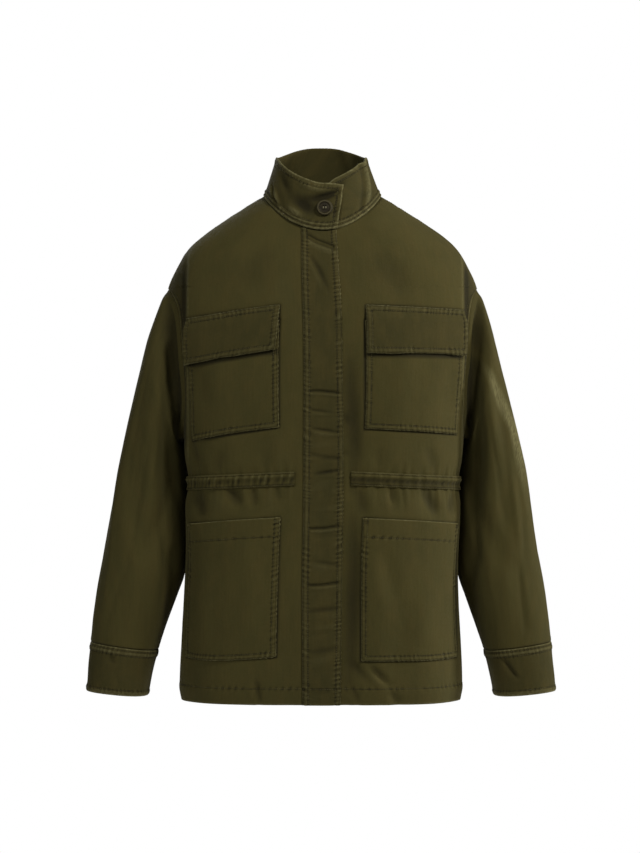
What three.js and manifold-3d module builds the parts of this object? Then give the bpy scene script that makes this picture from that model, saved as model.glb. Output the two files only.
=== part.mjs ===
// A funnel-neck utility jacket in washed cotton twill, worn hollow, sides rounding away.
// Millimetres, +Z up, +X to the wearer's left, front towards -Y.
// The origin is on the mid-plane at the height where the shoulder seams reach the neck.
// Every panel is a wall with rounded form, worked out from the tables below.

import * as THREE from 'three';
import { mergeVertices } from 'three/addons/utils/BufferGeometryUtils.js';
import Module from 'manifold-3d';

// Driving dimensions
const WALL = 1.8;
const HEM_WALL = 3.4;
const HEM_DEPTH = 24;
const SEAM = 0.36;
const LAY = 0.6;
const POCKET_LAY = 0.8;
const CASING_LAY = 0.9;
const HEM_LEVEL = -708;
const NECK_LEVEL = 12;
const FRONT_EDGE = -25;

const ARMHOLE = { top: -121, bottom: -336, half: 72, topPower: 3.2, lowPower: 2.3 };
const COLLAR = { wall: 3, seam: 0.8, half: 66, chest: 76, rear: 52, side: 67, front: 25, back: 88, power: 2.2 };
const COLLAR_LAP = { offset: 3.7, full: -24, none: -56, overLow: 12, overHigh: 22, under: -374 };
const PLACKET = { wall: 2.6, top: 8.5 };
const CUFF_WALL = 3;
const POCKET_WALL = 2;
const FLAP_WALL = 2.4;
const CASING = { wall: 1.8, tall: 20, centre: -391, sideDrop: 9, swell: 1.6, right: -18, left: 15.5 };
const CROWD = { corner: 0.35, front: 0.25 };
const BUTTON = { radius: 11.5, tall: 3.8, angle: 1.6, height: 0.46, hole: 1.1, holeOut: 2.3 };

// Body rings from hem to neck. side, front and back are the ring's heights there;
// half is its half width, chest and rear its depths; power squares its corners.
const RINGS = [
  { side: -708, front: -708, back: -708, half: 197.5, chest: 131, rear: 127, power: 2.9 },
  { side: -690, front: -690, back: -690, half: 200.5, chest: 133, rear: 129, power: 2.9 },
  { side: -628, front: -628, back: -628, half: 198.5, chest: 134, rear: 128, power: 2.9 },
  { side: -570, front: -570, back: -570, half: 195.5, chest: 133, rear: 125, power: 2.9 },
  { side: -510, front: -510, back: -510, half: 193.5, chest: 131, rear: 121, power: 2.9 },
  { side: -430, front: -430, back: -430, half: 195, chest: 129, rear: 116, power: 2.85 },
  { side: -398, front: -398, back: -398, half: 191.5, chest: 128, rear: 113, power: 2.8 },
  { side: -365, front: -365, back: -365, half: 196.5, chest: 130, rear: 117, power: 2.8 },
  { side: -300, front: -300, back: -300, half: 202, chest: 134, rear: 126, power: 2.7 },
  { side: -230, front: -230, back: -230, half: 218, chest: 134, rear: 131, power: 2.4 },
  { side: -170, front: -170, back: -170, half: 227, chest: 128, rear: 130, power: 2.25 },
  { side: -121, front: -121, back: -121, half: 221, chest: 119, rear: 125, power: 2.3 },
  { side: -88, front: -100, back: -86, half: 206.5, chest: 114, rear: 119, power: 2.4 },
  { side: -65, front: -88, back: -60, half: 192.5, chest: 110, rear: 112, power: 2.3 },
  { side: -45, front: -78, back: -38, half: 171, chest: 105.5, rear: 102, power: 2.25 },
  { side: -27, front: -68, back: -17, half: 146, chest: 101, rear: 91, power: 2.2 },
  { side: -11, front: -59, back: 1, half: 121, chest: 96.5, rear: 81, power: 2.15 },
  { side: 2, front: -50, back: 14, half: 101, chest: 92, rear: 72, power: 2.1 },
  { side: 12, front: -42, back: 24, half: 84, chest: 88, rear: 65, power: 2.1 },
];

// Levels of the cut rows below and above the armhole; the armhole adds its own between them.
const LOW_LEVELS = [-708, -697, -684.4, -683.6, -640, -595, -550, -505, -465, -435, -412, -398, -383, -362];
const HIGH_LEVELS = [-103, -84, -64, -45, -27, -10, 12];
// Cut rows of the armhole, as shares of its half height above and below its middle.
const ARMHOLE_ROWS = [1, 0.9983, 0.9845, 0.951, 0.809, 0.588, 0.309, 0, -0.309, -0.588, -0.809, -0.951, -1];

// The largest folds of the body. angle is round the body in degrees, 0 in front and 90 at the
// wearer's left side; slant is degrees per 100 mm of rise; depth under zero is a trough.
const BODY_FOLDS = [
  { angle: 15.5, level: -560, length: 330, width: 7.5, depth: -3.2, slant: 0.4 },
  { angle: 31, level: -590, length: 300, width: 8, depth: 2.4, slant: 1.2 },
  { angle: 52, level: -690, length: 240, width: 8, depth: 3.2, slant: -2 },
  { angle: 69, level: -640, length: 260, width: 8, depth: -2.6, slant: 1 },
  { angle: -20, level: -640, length: 240, width: 7.5, depth: -2, slant: -1.5 },
  { angle: -47, level: -700, length: 260, width: 9, depth: 3, slant: 2.4 },
  { angle: -66, level: -600, length: 240, width: 8, depth: -2.6, slant: -1 },
  { angle: 15, level: -300, length: 170, width: 7.5, depth: -1.8, slant: 5 },
  { angle: 40, level: -255, length: 150, width: 6, depth: 1.8, slant: 7 },
  { angle: -44, level: -280, length: 170, width: 7, depth: -2, slant: -6 },
  { angle: 148, level: -590, length: 320, width: 9.5, depth: -5.5, slant: 1.5 },
  { angle: 165, level: -630, length: 290, width: 9, depth: 3.4, slant: 0.5 },
  { angle: -172, level: -585, length: 300, width: 9.5, depth: -4, slant: -1 },
  { angle: -146, level: -600, length: 320, width: 9.5, depth: -5.2, slant: -2 },
  { angle: -128, level: -660, length: 240, width: 7, depth: 3.4, slant: 1 },
  { angle: 124, level: -650, length: 250, width: 7, depth: 3.2, slant: -1.2 },
  { angle: 134, level: -275, length: 180, width: 9, depth: -4.6, slant: 8 },
  { angle: -137, level: -265, length: 180, width: 9, depth: -4.2, slant: -9 },
  { angle: 160, level: -180, length: 170, width: 10, depth: 2.6, slant: -3 },
];

// Sleeve sections from armhole to cuff seam, on the wearer's left. Each runs from an outer
// to an inner point in the front view; deep is its half depth and mid its middle in Y.
const SLEEVE = [
  { step: 0, outX: 221, outZ: -121, inX: 198, inZ: -336, deep: 72, mid: 0, power: 2.75 },
  { step: 1, outX: 228.5, outZ: -138, inX: 203.5, inZ: -338, deep: 74, mid: 0, power: 2.7 },
  { step: 2, outX: 244.5, outZ: -188, inX: 205, inZ: -341, deep: 75, mid: 1, power: 2.6 },
  { step: 3, outX: 258.5, outZ: -240, inX: 203.5, inZ: -346, deep: 74.5, mid: 2, power: 2.5 },
  { step: 4, outX: 270, outZ: -287, inX: 202, inZ: -354, deep: 73, mid: 3, power: 2.45 },
  { step: 5, outX: 279.5, outZ: -326, inX: 200, inZ: -366, deep: 71, mid: 4, power: 2.4 },
  { step: 6, outX: 287.5, outZ: -361, inX: 199.3, inZ: -384, deep: 68.5, mid: 4, power: 2.35 },
  { step: 7, outX: 294.5, outZ: -393, inX: 198.3, inZ: -410, deep: 66.5, mid: 3.5, power: 2.3 },
  { step: 8, outX: 300.5, outZ: -424, inX: 197.4, inZ: -440, deep: 64.5, mid: 2, power: 2.3 },
  { step: 9, outX: 306.5, outZ: -456, inX: 196.8, inZ: -472, deep: 63, mid: 0, power: 2.25 },
  { step: 10, outX: 311.5, outZ: -488, inX: 196.6, inZ: -504, deep: 61, mid: -3, power: 2.25 },
  { step: 11, outX: 316, outZ: -518, inX: 199, inZ: -533, deep: 59, mid: -6.5, power: 2.25 },
  { step: 12, outX: 320.5, outZ: -548, inX: 208.5, inZ: -562, deep: 57, mid: -10, power: 2.2 },
  { step: 13, outX: 325, outZ: -586, inX: 221, inZ: -599, deep: 54, mid: -14, power: 2.2 },
  { step: 14, outX: 328.5, outZ: -624.5, inX: 234, inZ: -638.5, deep: 51, mid: -17, power: 2.2 },
];
const SLEEVE_STEPS = [0, 0.45, 1, 2, 3, 4, 5, 6.5, 8, 9, 10, 11, 12, 13, 14];

// The largest folds of the sleeves. turn is round the sleeve, 0 outside, 90 in front,
// 180 inside; slant is degrees per step.
const SLEEVE_FOLDS = [
  { turn: 38, step: 5.5, length: 8, width: 17, depth: 3.2, slant: 2 },
  { turn: 72, step: 6, length: 7.5, width: 15, depth: -4, slant: 2.5 },
  { turn: 118, step: 8.6, length: 4.4, width: 15, depth: -4.6, slant: -13 },
  { turn: 96, step: 11.6, length: 4, width: 13, depth: 3, slant: 7 },
  { turn: 150, step: 11.2, length: 3.4, width: 14, depth: -3.6, slant: 12 },
  { turn: 262, step: 8.2, length: 4, width: 16, depth: -5, slant: 15 },
  { turn: 292, step: 10.4, length: 4.4, width: 14, depth: 3.2, slant: -10 },
  { turn: 318, step: 5, length: 5.5, width: 17, depth: -3.4, slant: 5 },
  { turn: 236, step: 11.8, length: 3, width: 15, depth: -3.6, slant: -9 },
];

// Cuff sections, same columns as the sleeve.
const CUFF = [
  { step: 0, outX: 328.6, outZ: -625.2, inX: 234.2, inZ: -639.2, deep: 51, mid: -17.1, power: 2.2 },
  { step: 1, outX: 331, outZ: -648, inX: 239, inZ: -661, deep: 50, mid: -18.3, power: 2.2 },
  { step: 2, outX: 333, outZ: -671, inX: 243.5, inZ: -682, deep: 48.5, mid: -19.5, power: 2.2 },
  { step: 3, outX: 334.5, outZ: -695, inX: 247.5, inZ: -704, deep: 47.5, mid: -20.5, power: 2.2 },
];

// The fly strip's two edges, as x on the front.
const PLACKET_EDGES = [
  { level: -708, left: -25.5, right: 26 },
  { level: -560, left: -27, right: 27.1 },
  { level: -366, left: -30.4, right: 23.9 },
  { level: -254, left: -32.4, right: 20.4 },
  { level: -142, left: -32.9, right: 19.4 },
  { level: 12, left: -30.4, right: 17.6 },
];

// Pieces laid on the fronts: corner x and height, top and bottom, near the opening and near
// the side. lift and topLift are their distances from the front; swell fills the middle.
const LAID = {
  chest_pocket_right: {
    inTopX: -65.5, inTop: -170, outTopX: -186.7, outTop: -186, inLowX: -64.5, inLow: -320, outLowX: -181.8, outLow: -339,
    wall: POCKET_WALL, topLift: POCKET_LAY, lift: POCKET_LAY, swell: 1.6,
  },
  chest_pocket_left: {
    inTopX: 51.8, inTop: -171, outTopX: 186.7, outTop: -178, inLowX: 52.8, inLow: -322, outLowX: 181.8, outLow: -330,
    wall: POCKET_WALL, topLift: POCKET_LAY, lift: POCKET_LAY, swell: 1.6,
  },
  chest_flap_right: {
    inTopX: -63.5, inTop: -149.6, outTopX: -191.1, outTop: -167, inLowX: -70.4, inLow: -212.6, outLowX: -190.1, outLow: -232,
    wall: FLAP_WALL, topLift: LAY, lift: 4.9, swell: 0,
  },
  chest_flap_left: {
    inTopX: 53.4, inTop: -150, outTopX: 192.6, outTop: -155, inLowX: 53.8, inLow: -217, outLowX: 190.6, outLow: -218,
    wall: FLAP_WALL, topLift: LAY, lift: 4.9, swell: 0,
  },
  lower_pocket_right: {
    inTopX: -59.6, inTop: -446, outTopX: -185.2, outTop: -457, inLowX: -61.6, inLow: -640.5, outLowX: -186.7, outLow: -645,
    wall: POCKET_WALL, topLift: POCKET_LAY, lift: POCKET_LAY, swell: 2.2,
  },
  lower_pocket_left: {
    inTopX: 53.3, inTop: -447, outTopX: 185.2, outTop: -456, inLowX: 54.7, inLow: -646, outLowX: 187.7, outLow: -645,
    wall: POCKET_WALL, topLift: POCKET_LAY, lift: POCKET_LAY, swell: 2.2,
  },
};

// How far the middle of the worn jacket leans to the wearer's left at each height.
const LEAN = [
  { z: -708, shift: 0 },
  { z: -550, shift: 1 },
  { z: -400, shift: 5.5 },
  { z: -200, shift: 9 },
  { z: -60, shift: 4 },
  { z: 90, shift: 0 },
];
const LEAN_REACH = 245;

// The worn jacket is a little wider in front of its mid-plane than behind it, so that the
// sleeves lie against its sides: share of the width gained in front and lost behind.
const TAPER = { share: 0.032, reach: 40, whole: 0.992 };

// Colours of the cloth and the button
const TWILL = new THREE.Color(0.046, 0.038, 0.013);
const TWILL_DARK = new THREE.Color(0.036, 0.031, 0.01);
const TWILL_WORN = new THREE.Color(0.058, 0.049, 0.018);
const HORN = new THREE.Color(0.032, 0.026, 0.01);

const rad = THREE.MathUtils.degToRad;

// Smooth curve through one column of a table, rows in rising or falling order of the key.
function sample(table, key, column, value) {
  const rising = table[table.length - 1][key] > table[0][key] ? 1 : -1;
  const last = table.length - 1;
  if ((value - table[0][key]) * rising <= 0) return table[0][column];
  if ((value - table[last][key]) * rising >= 0) return table[last][column];
  let i = 0;
  while ((table[i + 1][key] - value) * rising < 0) i += 1;
  const slope = (k) => {
    const a = table[Math.max(k - 1, 0)];
    const b = table[Math.min(k + 1, last)];
    return (b[column] - a[column]) / (b[key] - a[key]);
  };
  const span = table[i + 1][key] - table[i][key];
  const t = (value - table[i][key]) / span;
  const t2 = t * t;
  const t3 = t2 * t;
  return (2 * t3 - 3 * t2 + 1) * table[i][column] + (t3 - 2 * t2 + t) * slope(i) * span
    + (3 * t2 - 2 * t3) * table[i + 1][column] + (t3 - t2) * slope(i + 1) * span;
}

function smooth(from, to, value) {
  return THREE.MathUtils.smoothstep((value - from) / (to - from), 0, 1);
}

// Distance from the centre to a unit superellipse in a direction.
function reach(cos, sin, power) {
  return (Math.abs(cos) ** power + Math.abs(sin) ** power) ** (-1 / power);
}

function lean(point) {
  const fade = Math.max(0, 1 - (Math.abs(point.x) / LEAN_REACH) ** 4);
  const shift = sample(LEAN, 'z', 'shift', point.z) * fade;
  point.x = point.x * (TAPER.whole - TAPER.share * Math.tanh(point.y / TAPER.reach)) + shift;
  return point;
}

// A fold's share of the height at one place, in a smooth bump along and across it.
function foldShare(fold, across, along) {
  const side = across - fold.slant * along;
  const far = (2 * along * fold.unit) / fold.length;
  return fold.depth * Math.exp(-((side / fold.width) ** 2) - far ** 4);
}

function bodyFold(angle, level) {
  let sum = 0;
  for (const fold of BODY_FOLDS) {
    const across = THREE.MathUtils.euclideanModulo(angle - fold.angle + 180, 360) - 180;
    sum += foldShare({ ...fold, unit: 100 }, across, (level - fold.level) / 100);
  }
  return sum;
}

// Point of the body's outer face before the lean, about the middle line.
function bodyForm(angle, level) {
  const ring = {};
  for (const column of ['front', 'back', 'half', 'chest', 'rear', 'power']) {
    ring[column] = sample(RINGS, 'side', column, level);
  }
  const sin = Math.sin(rad(angle));
  const cos = Math.cos(rad(angle));
  const deep = cos > 0 ? ring.chest : ring.rear;
  const radius = reach(cos / deep, sin / ring.half, ring.power) + bodyFold(angle, level);
  const height = cos > 0 ? ring.front : ring.back;
  return new THREE.Vector3(radius * sin, -radius * cos, level + (height - level) * cos * cos);
}

function bodyPoint(angle, level) {
  return lean(bodyForm(angle, level));
}

// Outward normal of a face given by a function of two numbers.
function normalOf(face, u, v, du, dv, outward) {
  const across = face(u + du, v).sub(face(u - du, v));
  const along = face(u, v + dv).sub(face(u, v - dv));
  const normal = across.cross(along).normalize();
  return normal.dot(outward) < 0 ? normal.negate() : normal;
}

function bodyNormal(angle, level) {
  const low = Math.min(level, NECK_LEVEL - 0.6);
  const out = new THREE.Vector3(Math.sin(rad(angle)), -Math.cos(rad(angle)), 0.4);
  return normalOf(bodyPoint, angle, Math.max(low, HEM_LEVEL + 0.6), 0.2, 0.5, out);
}

function offBody(angle, level, distance) {
  return bodyPoint(angle, level).addScaledVector(bodyNormal(angle, level), distance);
}

// Angle at which the body has a given x, or a given distance in front of or behind its middle.
function solve(low, high, test) {
  let a = low;
  let b = high;
  for (let i = 0; i < 40; i += 1) {
    const middle = (a + b) / 2;
    if (test(middle)) a = middle;
    else b = middle;
  }
  return (a + b) / 2;
}

// Even steps of this turn crowd together at the ring's corners, where it bends most.
function angleOf(turn) {
  const t = rad(turn);
  return turn + THREE.MathUtils.radToDeg((CROWD.corner / 4) * Math.sin(4 * t) + (CROWD.front / 2) * Math.sin(2 * t));
}

function turnOf(angle) {
  return solve(angle - 30, angle + 30, (turn) => angleOf(turn) < angle);
}

function between(from, to, share) {
  return angleOf(THREE.MathUtils.lerp(turnOf(from), turnOf(to), share));
}

function angleAtX(x, level) {
  return solve(-90, 90, (angle) => bodyForm(angle, level).x < x);
}

function angleAtDepth(depth, level, behind) {
  if (behind) return solve(90, 180, (angle) => bodyForm(angle, level).y < depth);
  return 90 - solve(0, 90, (turn) => -bodyForm(90 - turn, level).y < depth);
}

// Half the armhole's opening at a level, as a distance from the middle plane in Y.
const ARM_MID = (ARMHOLE.top + ARMHOLE.bottom) / 2;
const ARM_TALL = (ARMHOLE.top - ARMHOLE.bottom) / 2;

function armholeHalf(level) {
  const up = (level - ARM_MID) / ARM_TALL;
  if (Math.abs(up) >= 1) return 0;
  const power = up > 0 ? ARMHOLE.topPower : ARMHOLE.lowPower;
  return ARMHOLE.half * (1 - Math.abs(up) ** power) ** (1 / power);
}

function sideEdge(level, behind) {
  return angleAtDepth(Math.max(armholeHalf(level), SEAM / 2), level, behind);
}

// Levels of every cut row, from hem to neck.
function cutLevels() {
  const arm = ARMHOLE_ROWS.map((up) => ARM_MID + ARM_TALL * up).reverse();
  return [...LOW_LEVELS, ...arm, ...HIGH_LEVELS];
}

// Closed wall from a grid of outer points and a grid of inner points.
function wall(outer, inner, round) {
  const rows = outer.length;
  const cols = outer[0].length;
  const count = rows * cols;
  const positions = [...outer.flat(), ...inner.flat()].flatMap((p) => [p.x, p.y, p.z]);
  const faces = [];
  const quad = (a, b, c, d) => faces.push(a, b, c, a, c, d);
  const at = (i, j) => i * cols + (j % cols);
  const lastCol = round ? cols : cols - 1;
  for (let i = 0; i < rows - 1; i += 1) {
    for (let j = 0; j < lastCol; j += 1) {
      quad(at(i, j), at(i, j + 1), at(i + 1, j + 1), at(i + 1, j));
      quad(count + at(i, j), count + at(i + 1, j), count + at(i + 1, j + 1), count + at(i, j + 1));
    }
    if (!round) {
      quad(at(i, 0), at(i + 1, 0), count + at(i + 1, 0), count + at(i, 0));
      quad(at(i, cols - 1), count + at(i, cols - 1), count + at(i + 1, cols - 1), at(i + 1, cols - 1));
    }
  }
  for (let j = 0; j < lastCol; j += 1) {
    quad(at(0, j), count + at(0, j), count + at(0, j + 1), at(0, j + 1));
    quad(at(rows - 1, j), at(rows - 1, j + 1), count + at(rows - 1, j + 1), count + at(rows - 1, j));
  }
  return orient(positions, faces);
}

// Geometry with its faces pointing out.
function orient(positions, faces) {
  const vertex = (i) => new THREE.Vector3().fromArray(positions, 3 * i);
  let volume = 0;
  for (let k = 0; k < faces.length; k += 3) {
    volume += vertex(faces[k]).dot(vertex(faces[k + 1]).cross(vertex(faces[k + 2])));
  }
  const order = volume < 0 ? [0, 2, 1] : [0, 1, 2];
  const index = [];
  for (let k = 0; k < faces.length; k += 3) {
    for (const o of order) index.push(faces[k + o]);
  }
  const geometry = new THREE.BufferGeometry();
  geometry.setAttribute('position', new THREE.Float32BufferAttribute(positions, 3));
  geometry.setIndex(index);
  geometry.computeVertexNormals();
  return geometry;
}

function gridOf(rows, cols, place) {
  return Array.from({ length: rows }, (_, i) => Array.from({ length: cols }, (__, j) => place(i, j)));
}

// One cut panel of the body between two edges, each an angle for every level.
function bodyPanel(cells, fromEdge, toEdge) {
  const levels = cutLevels();
  const edges = levels.map((level) => [fromEdge(level), toEdge(level)]);
  const face = (i, j, distance) => {
    return offBody(between(edges[i][0], edges[i][1], j / cells), levels[i], distance);
  };
  const thick = (level) => (level < HEM_LEVEL + HEM_DEPTH ? HEM_WALL : WALL);
  const outer = gridOf(levels.length, cells + 1, (i, j) => face(i, j, 0));
  const inner = gridOf(levels.length, cells + 1, (i, j) => face(i, j, -thick(levels[i])));
  return wall(outer, inner, false);
}

// Rim of the armhole in the sleeve's own turn, 0 at the top and 90 in front.
function rimPlace(turn, inset) {
  const cos = Math.cos(rad(turn));
  const sin = Math.sin(rad(turn));
  const rho = reach(cos, sin, cos > 0 ? ARMHOLE.topPower : ARMHOLE.lowPower);
  const level = ARM_MID + (ARM_TALL - inset) * rho * cos;
  const depth = (ARMHOLE.half - inset) * rho * sin;
  return { angle: angleAtDepth(Math.abs(depth), level, depth < 0), level };
}

function sectionPoint(table, turn, step, folds, side) {
  const at = (column) => sample(table, 'step', column, step);
  const cos = Math.cos(rad(turn));
  const sin = Math.sin(rad(turn));
  const rho = reach(cos, sin, at('power'));
  const halfX = (at('outX') - at('inX')) / 2;
  const halfZ = (at('outZ') - at('inZ')) / 2;
  const half = Math.hypot(halfX, halfZ);
  const radius = rho * Math.hypot(half * cos, at('deep') * sin);
  const grow = 1 + folds(turn, step) / radius;
  const x = at('inX') + halfX + halfX * rho * cos * grow;
  const z = at('inZ') + halfZ + halfZ * rho * cos * grow;
  return new THREE.Vector3(side * x, at('mid') - at('deep') * rho * sin * grow, z);
}

function sleeveFold(turn, step) {
  let sum = 0;
  for (const fold of SLEEVE_FOLDS) {
    const across = THREE.MathUtils.euclideanModulo(turn - fold.turn + 180, 360) - 180;
    sum += foldShare({ ...fold, unit: 1 }, across, step - fold.step);
  }
  return sum * smooth(0, 2, step) * smooth(14, 13, step);
}

function sleevePoint(side) {
  return (turn, step) => {
    const point = sectionPoint(SLEEVE, turn, step, sleeveFold, side);
    if (step < 1) {
      const rim = rimPlace(turn, SEAM);
      const flat = sectionPoint(SLEEVE, turn, 0, () => 0, side);
      const away = bodyForm(side * rim.angle, rim.level).sub(flat);
      point.addScaledVector(away, (1 - step) ** 2);
    }
    return lean(point);
  };
}

// Turns that match the cut rows of the armhole, down the front and up the back.
function sleeveTurns() {
  const turns = ARMHOLE_ROWS.map((up) => {
    const depth = armholeHalf(ARM_MID + ARM_TALL * up) / ARMHOLE.half;
    return THREE.MathUtils.radToDeg(Math.atan2(depth, up));
  });
  const back = turns.slice(1, -1).reverse().map((turn) => 360 - turn);
  return [...turns, ...back];
}

// Closed wall of a tube. ends gives the inner points of its first ring, or is null.
function tube(face, turns, steps, thick, ends) {
  const outer = gridOf(steps.length, turns.length, (i, j) => face(turns[j], steps[i]));
  const inner = gridOf(steps.length, turns.length, (i, j) => {
    if (ends && i === 0) return ends(turns[j]);
    const step = THREE.MathUtils.clamp(steps[i], steps[0] + 0.02, steps[steps.length - 1] - 0.02);
    const turn = turns[j];
    const across = face(turn + 180, step).sub(face(turn, step));
    const normal = normalOf(face, turn, step, 0.5, 0.01, across.negate());
    return outer[i][j].clone().addScaledVector(normal, -thick);
  });
  return wall(outer, inner, true);
}

function sleeve(side) {
  const rimInside = (turn) => {
    const rim = rimPlace(turn, SEAM);
    return offBody(side * rim.angle, rim.level, -WALL);
  };
  return tube(sleevePoint(side), sleeveTurns(), SLEEVE_STEPS, WALL, rimInside);
}

function cuff(side) {
  const face = (turn, step) => lean(sectionPoint(CUFF, turn, step, () => 0, side));
  return tube(face, sleeveTurns(), [0, 1, 2, 3], CUFF_WALL, null);
}

// Standing collar: a band from the neck seam, lapped over itself at the throat.
function collarPoint(angle, height, distance) {
  const base = bodyForm(angle, NECK_LEVEL);
  const sin = Math.sin(rad(angle));
  const cos = Math.cos(rad(angle));
  const deep = cos > 0 ? COLLAR.chest : COLLAR.rear;
  const radius = reach(cos / deep, sin / COLLAR.half, COLLAR.power);
  const rise = cos > 0 ? COLLAR.front : COLLAR.back;
  const top = new THREE.Vector3(radius * sin, -radius * cos, COLLAR.side + (rise - COLLAR.side) * cos * cos);
  const lap = COLLAR_LAP.offset * smooth(COLLAR_LAP.none, COLLAR_LAP.full, angle);
  base.z += COLLAR.seam;
  base.lerp(top, height);
  base.x += (distance + lap) * sin;
  base.y -= (distance + lap) * cos;
  return lean(base);
}

function collar() {
  const rows = 4;
  const cols = 53;
  const place = (distance) => (i, j) => {
    const height = i / (rows - 1);
    const over = THREE.MathUtils.lerp(COLLAR_LAP.overLow, COLLAR_LAP.overHigh, height);
    return collarPoint(THREE.MathUtils.lerp(over, COLLAR_LAP.under, j / (cols - 1)), height, distance);
  };
  return wall(gridOf(rows, cols, place(0)), gridOf(rows, cols, place(-COLLAR.wall)), false);
}

function placket() {
  const levels = [...cutLevels().filter((level) => level < PLACKET.top), PLACKET.top];
  const cells = 3;
  const place = (distance) => (i, j) => {
    const level = levels[i];
    const left = angleAtX(sample(PLACKET_EDGES, 'level', 'left', level), level);
    const right = angleAtX(sample(PLACKET_EDGES, 'level', 'right', level), level);
    return offBody(THREE.MathUtils.lerp(left, right, j / cells), level, distance);
  };
  const outer = gridOf(levels.length, cells + 1, place(LAY + PLACKET.wall));
  return wall(outer, gridOf(levels.length, cells + 1, place(LAY)), false);
}

// A pocket or flap between four corners on a front.
function laidPiece(spec, rows, cols) {
  const corner = (x, level) => ({ angle: angleAtX(x, level), level });
  const inTop = corner(spec.inTopX, spec.inTop);
  const outTop = corner(spec.outTopX, spec.outTop);
  const inLow = corner(spec.inLowX, spec.inLow);
  const outLow = corner(spec.outLowX, spec.outLow);
  const angle = (u, v) => {
    const top = between(inTop.angle, outTop.angle, u);
    return THREE.MathUtils.lerp(top, between(inLow.angle, outLow.angle, u), v);
  };
  const level = (u, v) => {
    const top = THREE.MathUtils.lerp(inTop.level, outTop.level, u);
    return THREE.MathUtils.lerp(top, THREE.MathUtils.lerp(inLow.level, outLow.level, u), v);
  };
  const place = (distance) => (i, j) => {
    const v = i / rows;
    const u = j / cols;
    const swell = spec.swell * 16 * u * (1 - u) * v * (1 - v);
    const lift = THREE.MathUtils.lerp(spec.topLift, spec.lift, smooth(0.02, 0.3, v));
    return offBody(angle(u, v), level(u, v), lift + swell + distance);
  };
  return wall(gridOf(rows + 1, cols + 1, place(spec.wall)), gridOf(rows + 1, cols + 1, place(0)), false);
}

// Drawcord casing: a strip round the waist, open at the placket.
function casing() {
  const cells = 64;
  const rows = [1, 0, -1];
  const place = (distance) => (i, j) => {
    const angle = between(CASING.right, CASING.left - 360, j / cells);
    const level = CASING.centre - CASING.sideDrop * Math.sin(rad(angle)) ** 2 + (rows[i] * CASING.tall) / 2;
    const swell = distance > 0 ? CASING.swell * (1 - rows[i] ** 2) : 0;
    return offBody(angle, level, CASING_LAY + distance + swell);
  };
  return wall(gridOf(rows.length, cells + 1, place(CASING.wall)), gridOf(rows.length, cells + 1, place(0)), false);
}

const wasm = await Module();
wasm.setup();

function solidOf(source) {
  const plain = source.clone();
  plain.deleteAttribute('normal');
  plain.deleteAttribute('uv');
  const merged = mergeVertices(plain, 1e-4);
  const triangles = [];
  for (let k = 0; k < merged.index.count; k += 3) {
    const [a, b, c] = [merged.index.getX(k), merged.index.getX(k + 1), merged.index.getX(k + 2)];
    if (a !== b && b !== c && c !== a) triangles.push(a, b, c);
  }
  const data = { numProp: 3, vertProperties: merged.attributes.position.array, triVerts: new Uint32Array(triangles) };
  return new wasm.Manifold(new wasm.Mesh(data));
}

function geometryOf(solid) {
  const mesh = solid.getMesh();
  const geometry = new THREE.BufferGeometry();
  geometry.setAttribute('position', new THREE.BufferAttribute(new Float32Array(mesh.vertProperties), 3));
  geometry.setIndex(new THREE.BufferAttribute(new Uint32Array(mesh.triVerts), 1));
  geometry.computeVertexNormals();
  return geometry;
}

// Four-hole button, its axis along +Y of the lathe and its flat back at zero.
function button() {
  const { radius, tall, hole, holeOut } = BUTTON;
  const profile = [
    [0, 0], [radius - 1.8, 0], [radius - 0.5, 0.7], [radius, 1.9], [radius - 0.4, tall - 0.6],
    [radius - 1.5, tall], [radius - 2.8, tall - 0.5], [radius - 3.8, tall - 1.4], [0, tall - 1.5],
  ];
  const turned = new THREE.LatheGeometry(profile.map(([r, y]) => new THREE.Vector2(r, y)), 24);
  let solid = solidOf(turned);
  for (const [sx, sz] of [[1, 1], [1, -1], [-1, 1], [-1, -1]]) {
    const pin = new THREE.CylinderGeometry(hole, hole, tall * 3, 6);
    pin.translate((sx * holeOut) / Math.SQRT2, 0, (sz * holeOut) / Math.SQRT2);
    solid = solid.subtract(solidOf(pin));
  }
  return geometryOf(solid);
}

const jacket = new THREE.Group();

function add(name, geometry, colour, roughness) {
  const material = new THREE.MeshStandardMaterial({ color: colour, roughness, metalness: 0 });
  material.side = THREE.DoubleSide;
  const mesh = new THREE.Mesh(geometry, material);
  mesh.name = name;
  jacket.add(mesh);
  return mesh;
}

const frontEdge = (shift) => (level) => angleAtX(FRONT_EDGE + shift, level);
add('front_right', bodyPanel(10, frontEdge(-SEAM / 2), (level) => -sideEdge(level, false)), TWILL, 0.9);
add('front_left', bodyPanel(11, frontEdge(SEAM / 2), (level) => sideEdge(level, false)), TWILL, 0.9);
add('back', bodyPanel(20, (level) => sideEdge(level, true), (level) => 360 - sideEdge(level, true)), TWILL, 0.9);
add('placket', placket(), TWILL_WORN, 0.9);
add('collar', collar(), TWILL, 0.9);
add('sleeve_right', sleeve(-1), TWILL, 0.9);
add('sleeve_left', sleeve(1), TWILL, 0.9);
add('cuff_right', cuff(-1), TWILL_WORN, 0.9);
add('cuff_left', cuff(1), TWILL_WORN, 0.9);
add('chest_pocket_right', laidPiece(LAID.chest_pocket_right, 6, 10), TWILL, 0.9);
add('chest_pocket_left', laidPiece(LAID.chest_pocket_left, 6, 10), TWILL, 0.9);
add('chest_flap_right', laidPiece(LAID.chest_flap_right, 4, 10), TWILL_WORN, 0.9);
add('chest_flap_left', laidPiece(LAID.chest_flap_left, 4, 10), TWILL_WORN, 0.9);
add('lower_pocket_right', laidPiece(LAID.lower_pocket_right, 7, 10), TWILL, 0.9);
add('lower_pocket_left', laidPiece(LAID.lower_pocket_left, 7, 10), TWILL, 0.9);
add('waist_casing', casing(), TWILL_DARK, 0.9);

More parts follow.
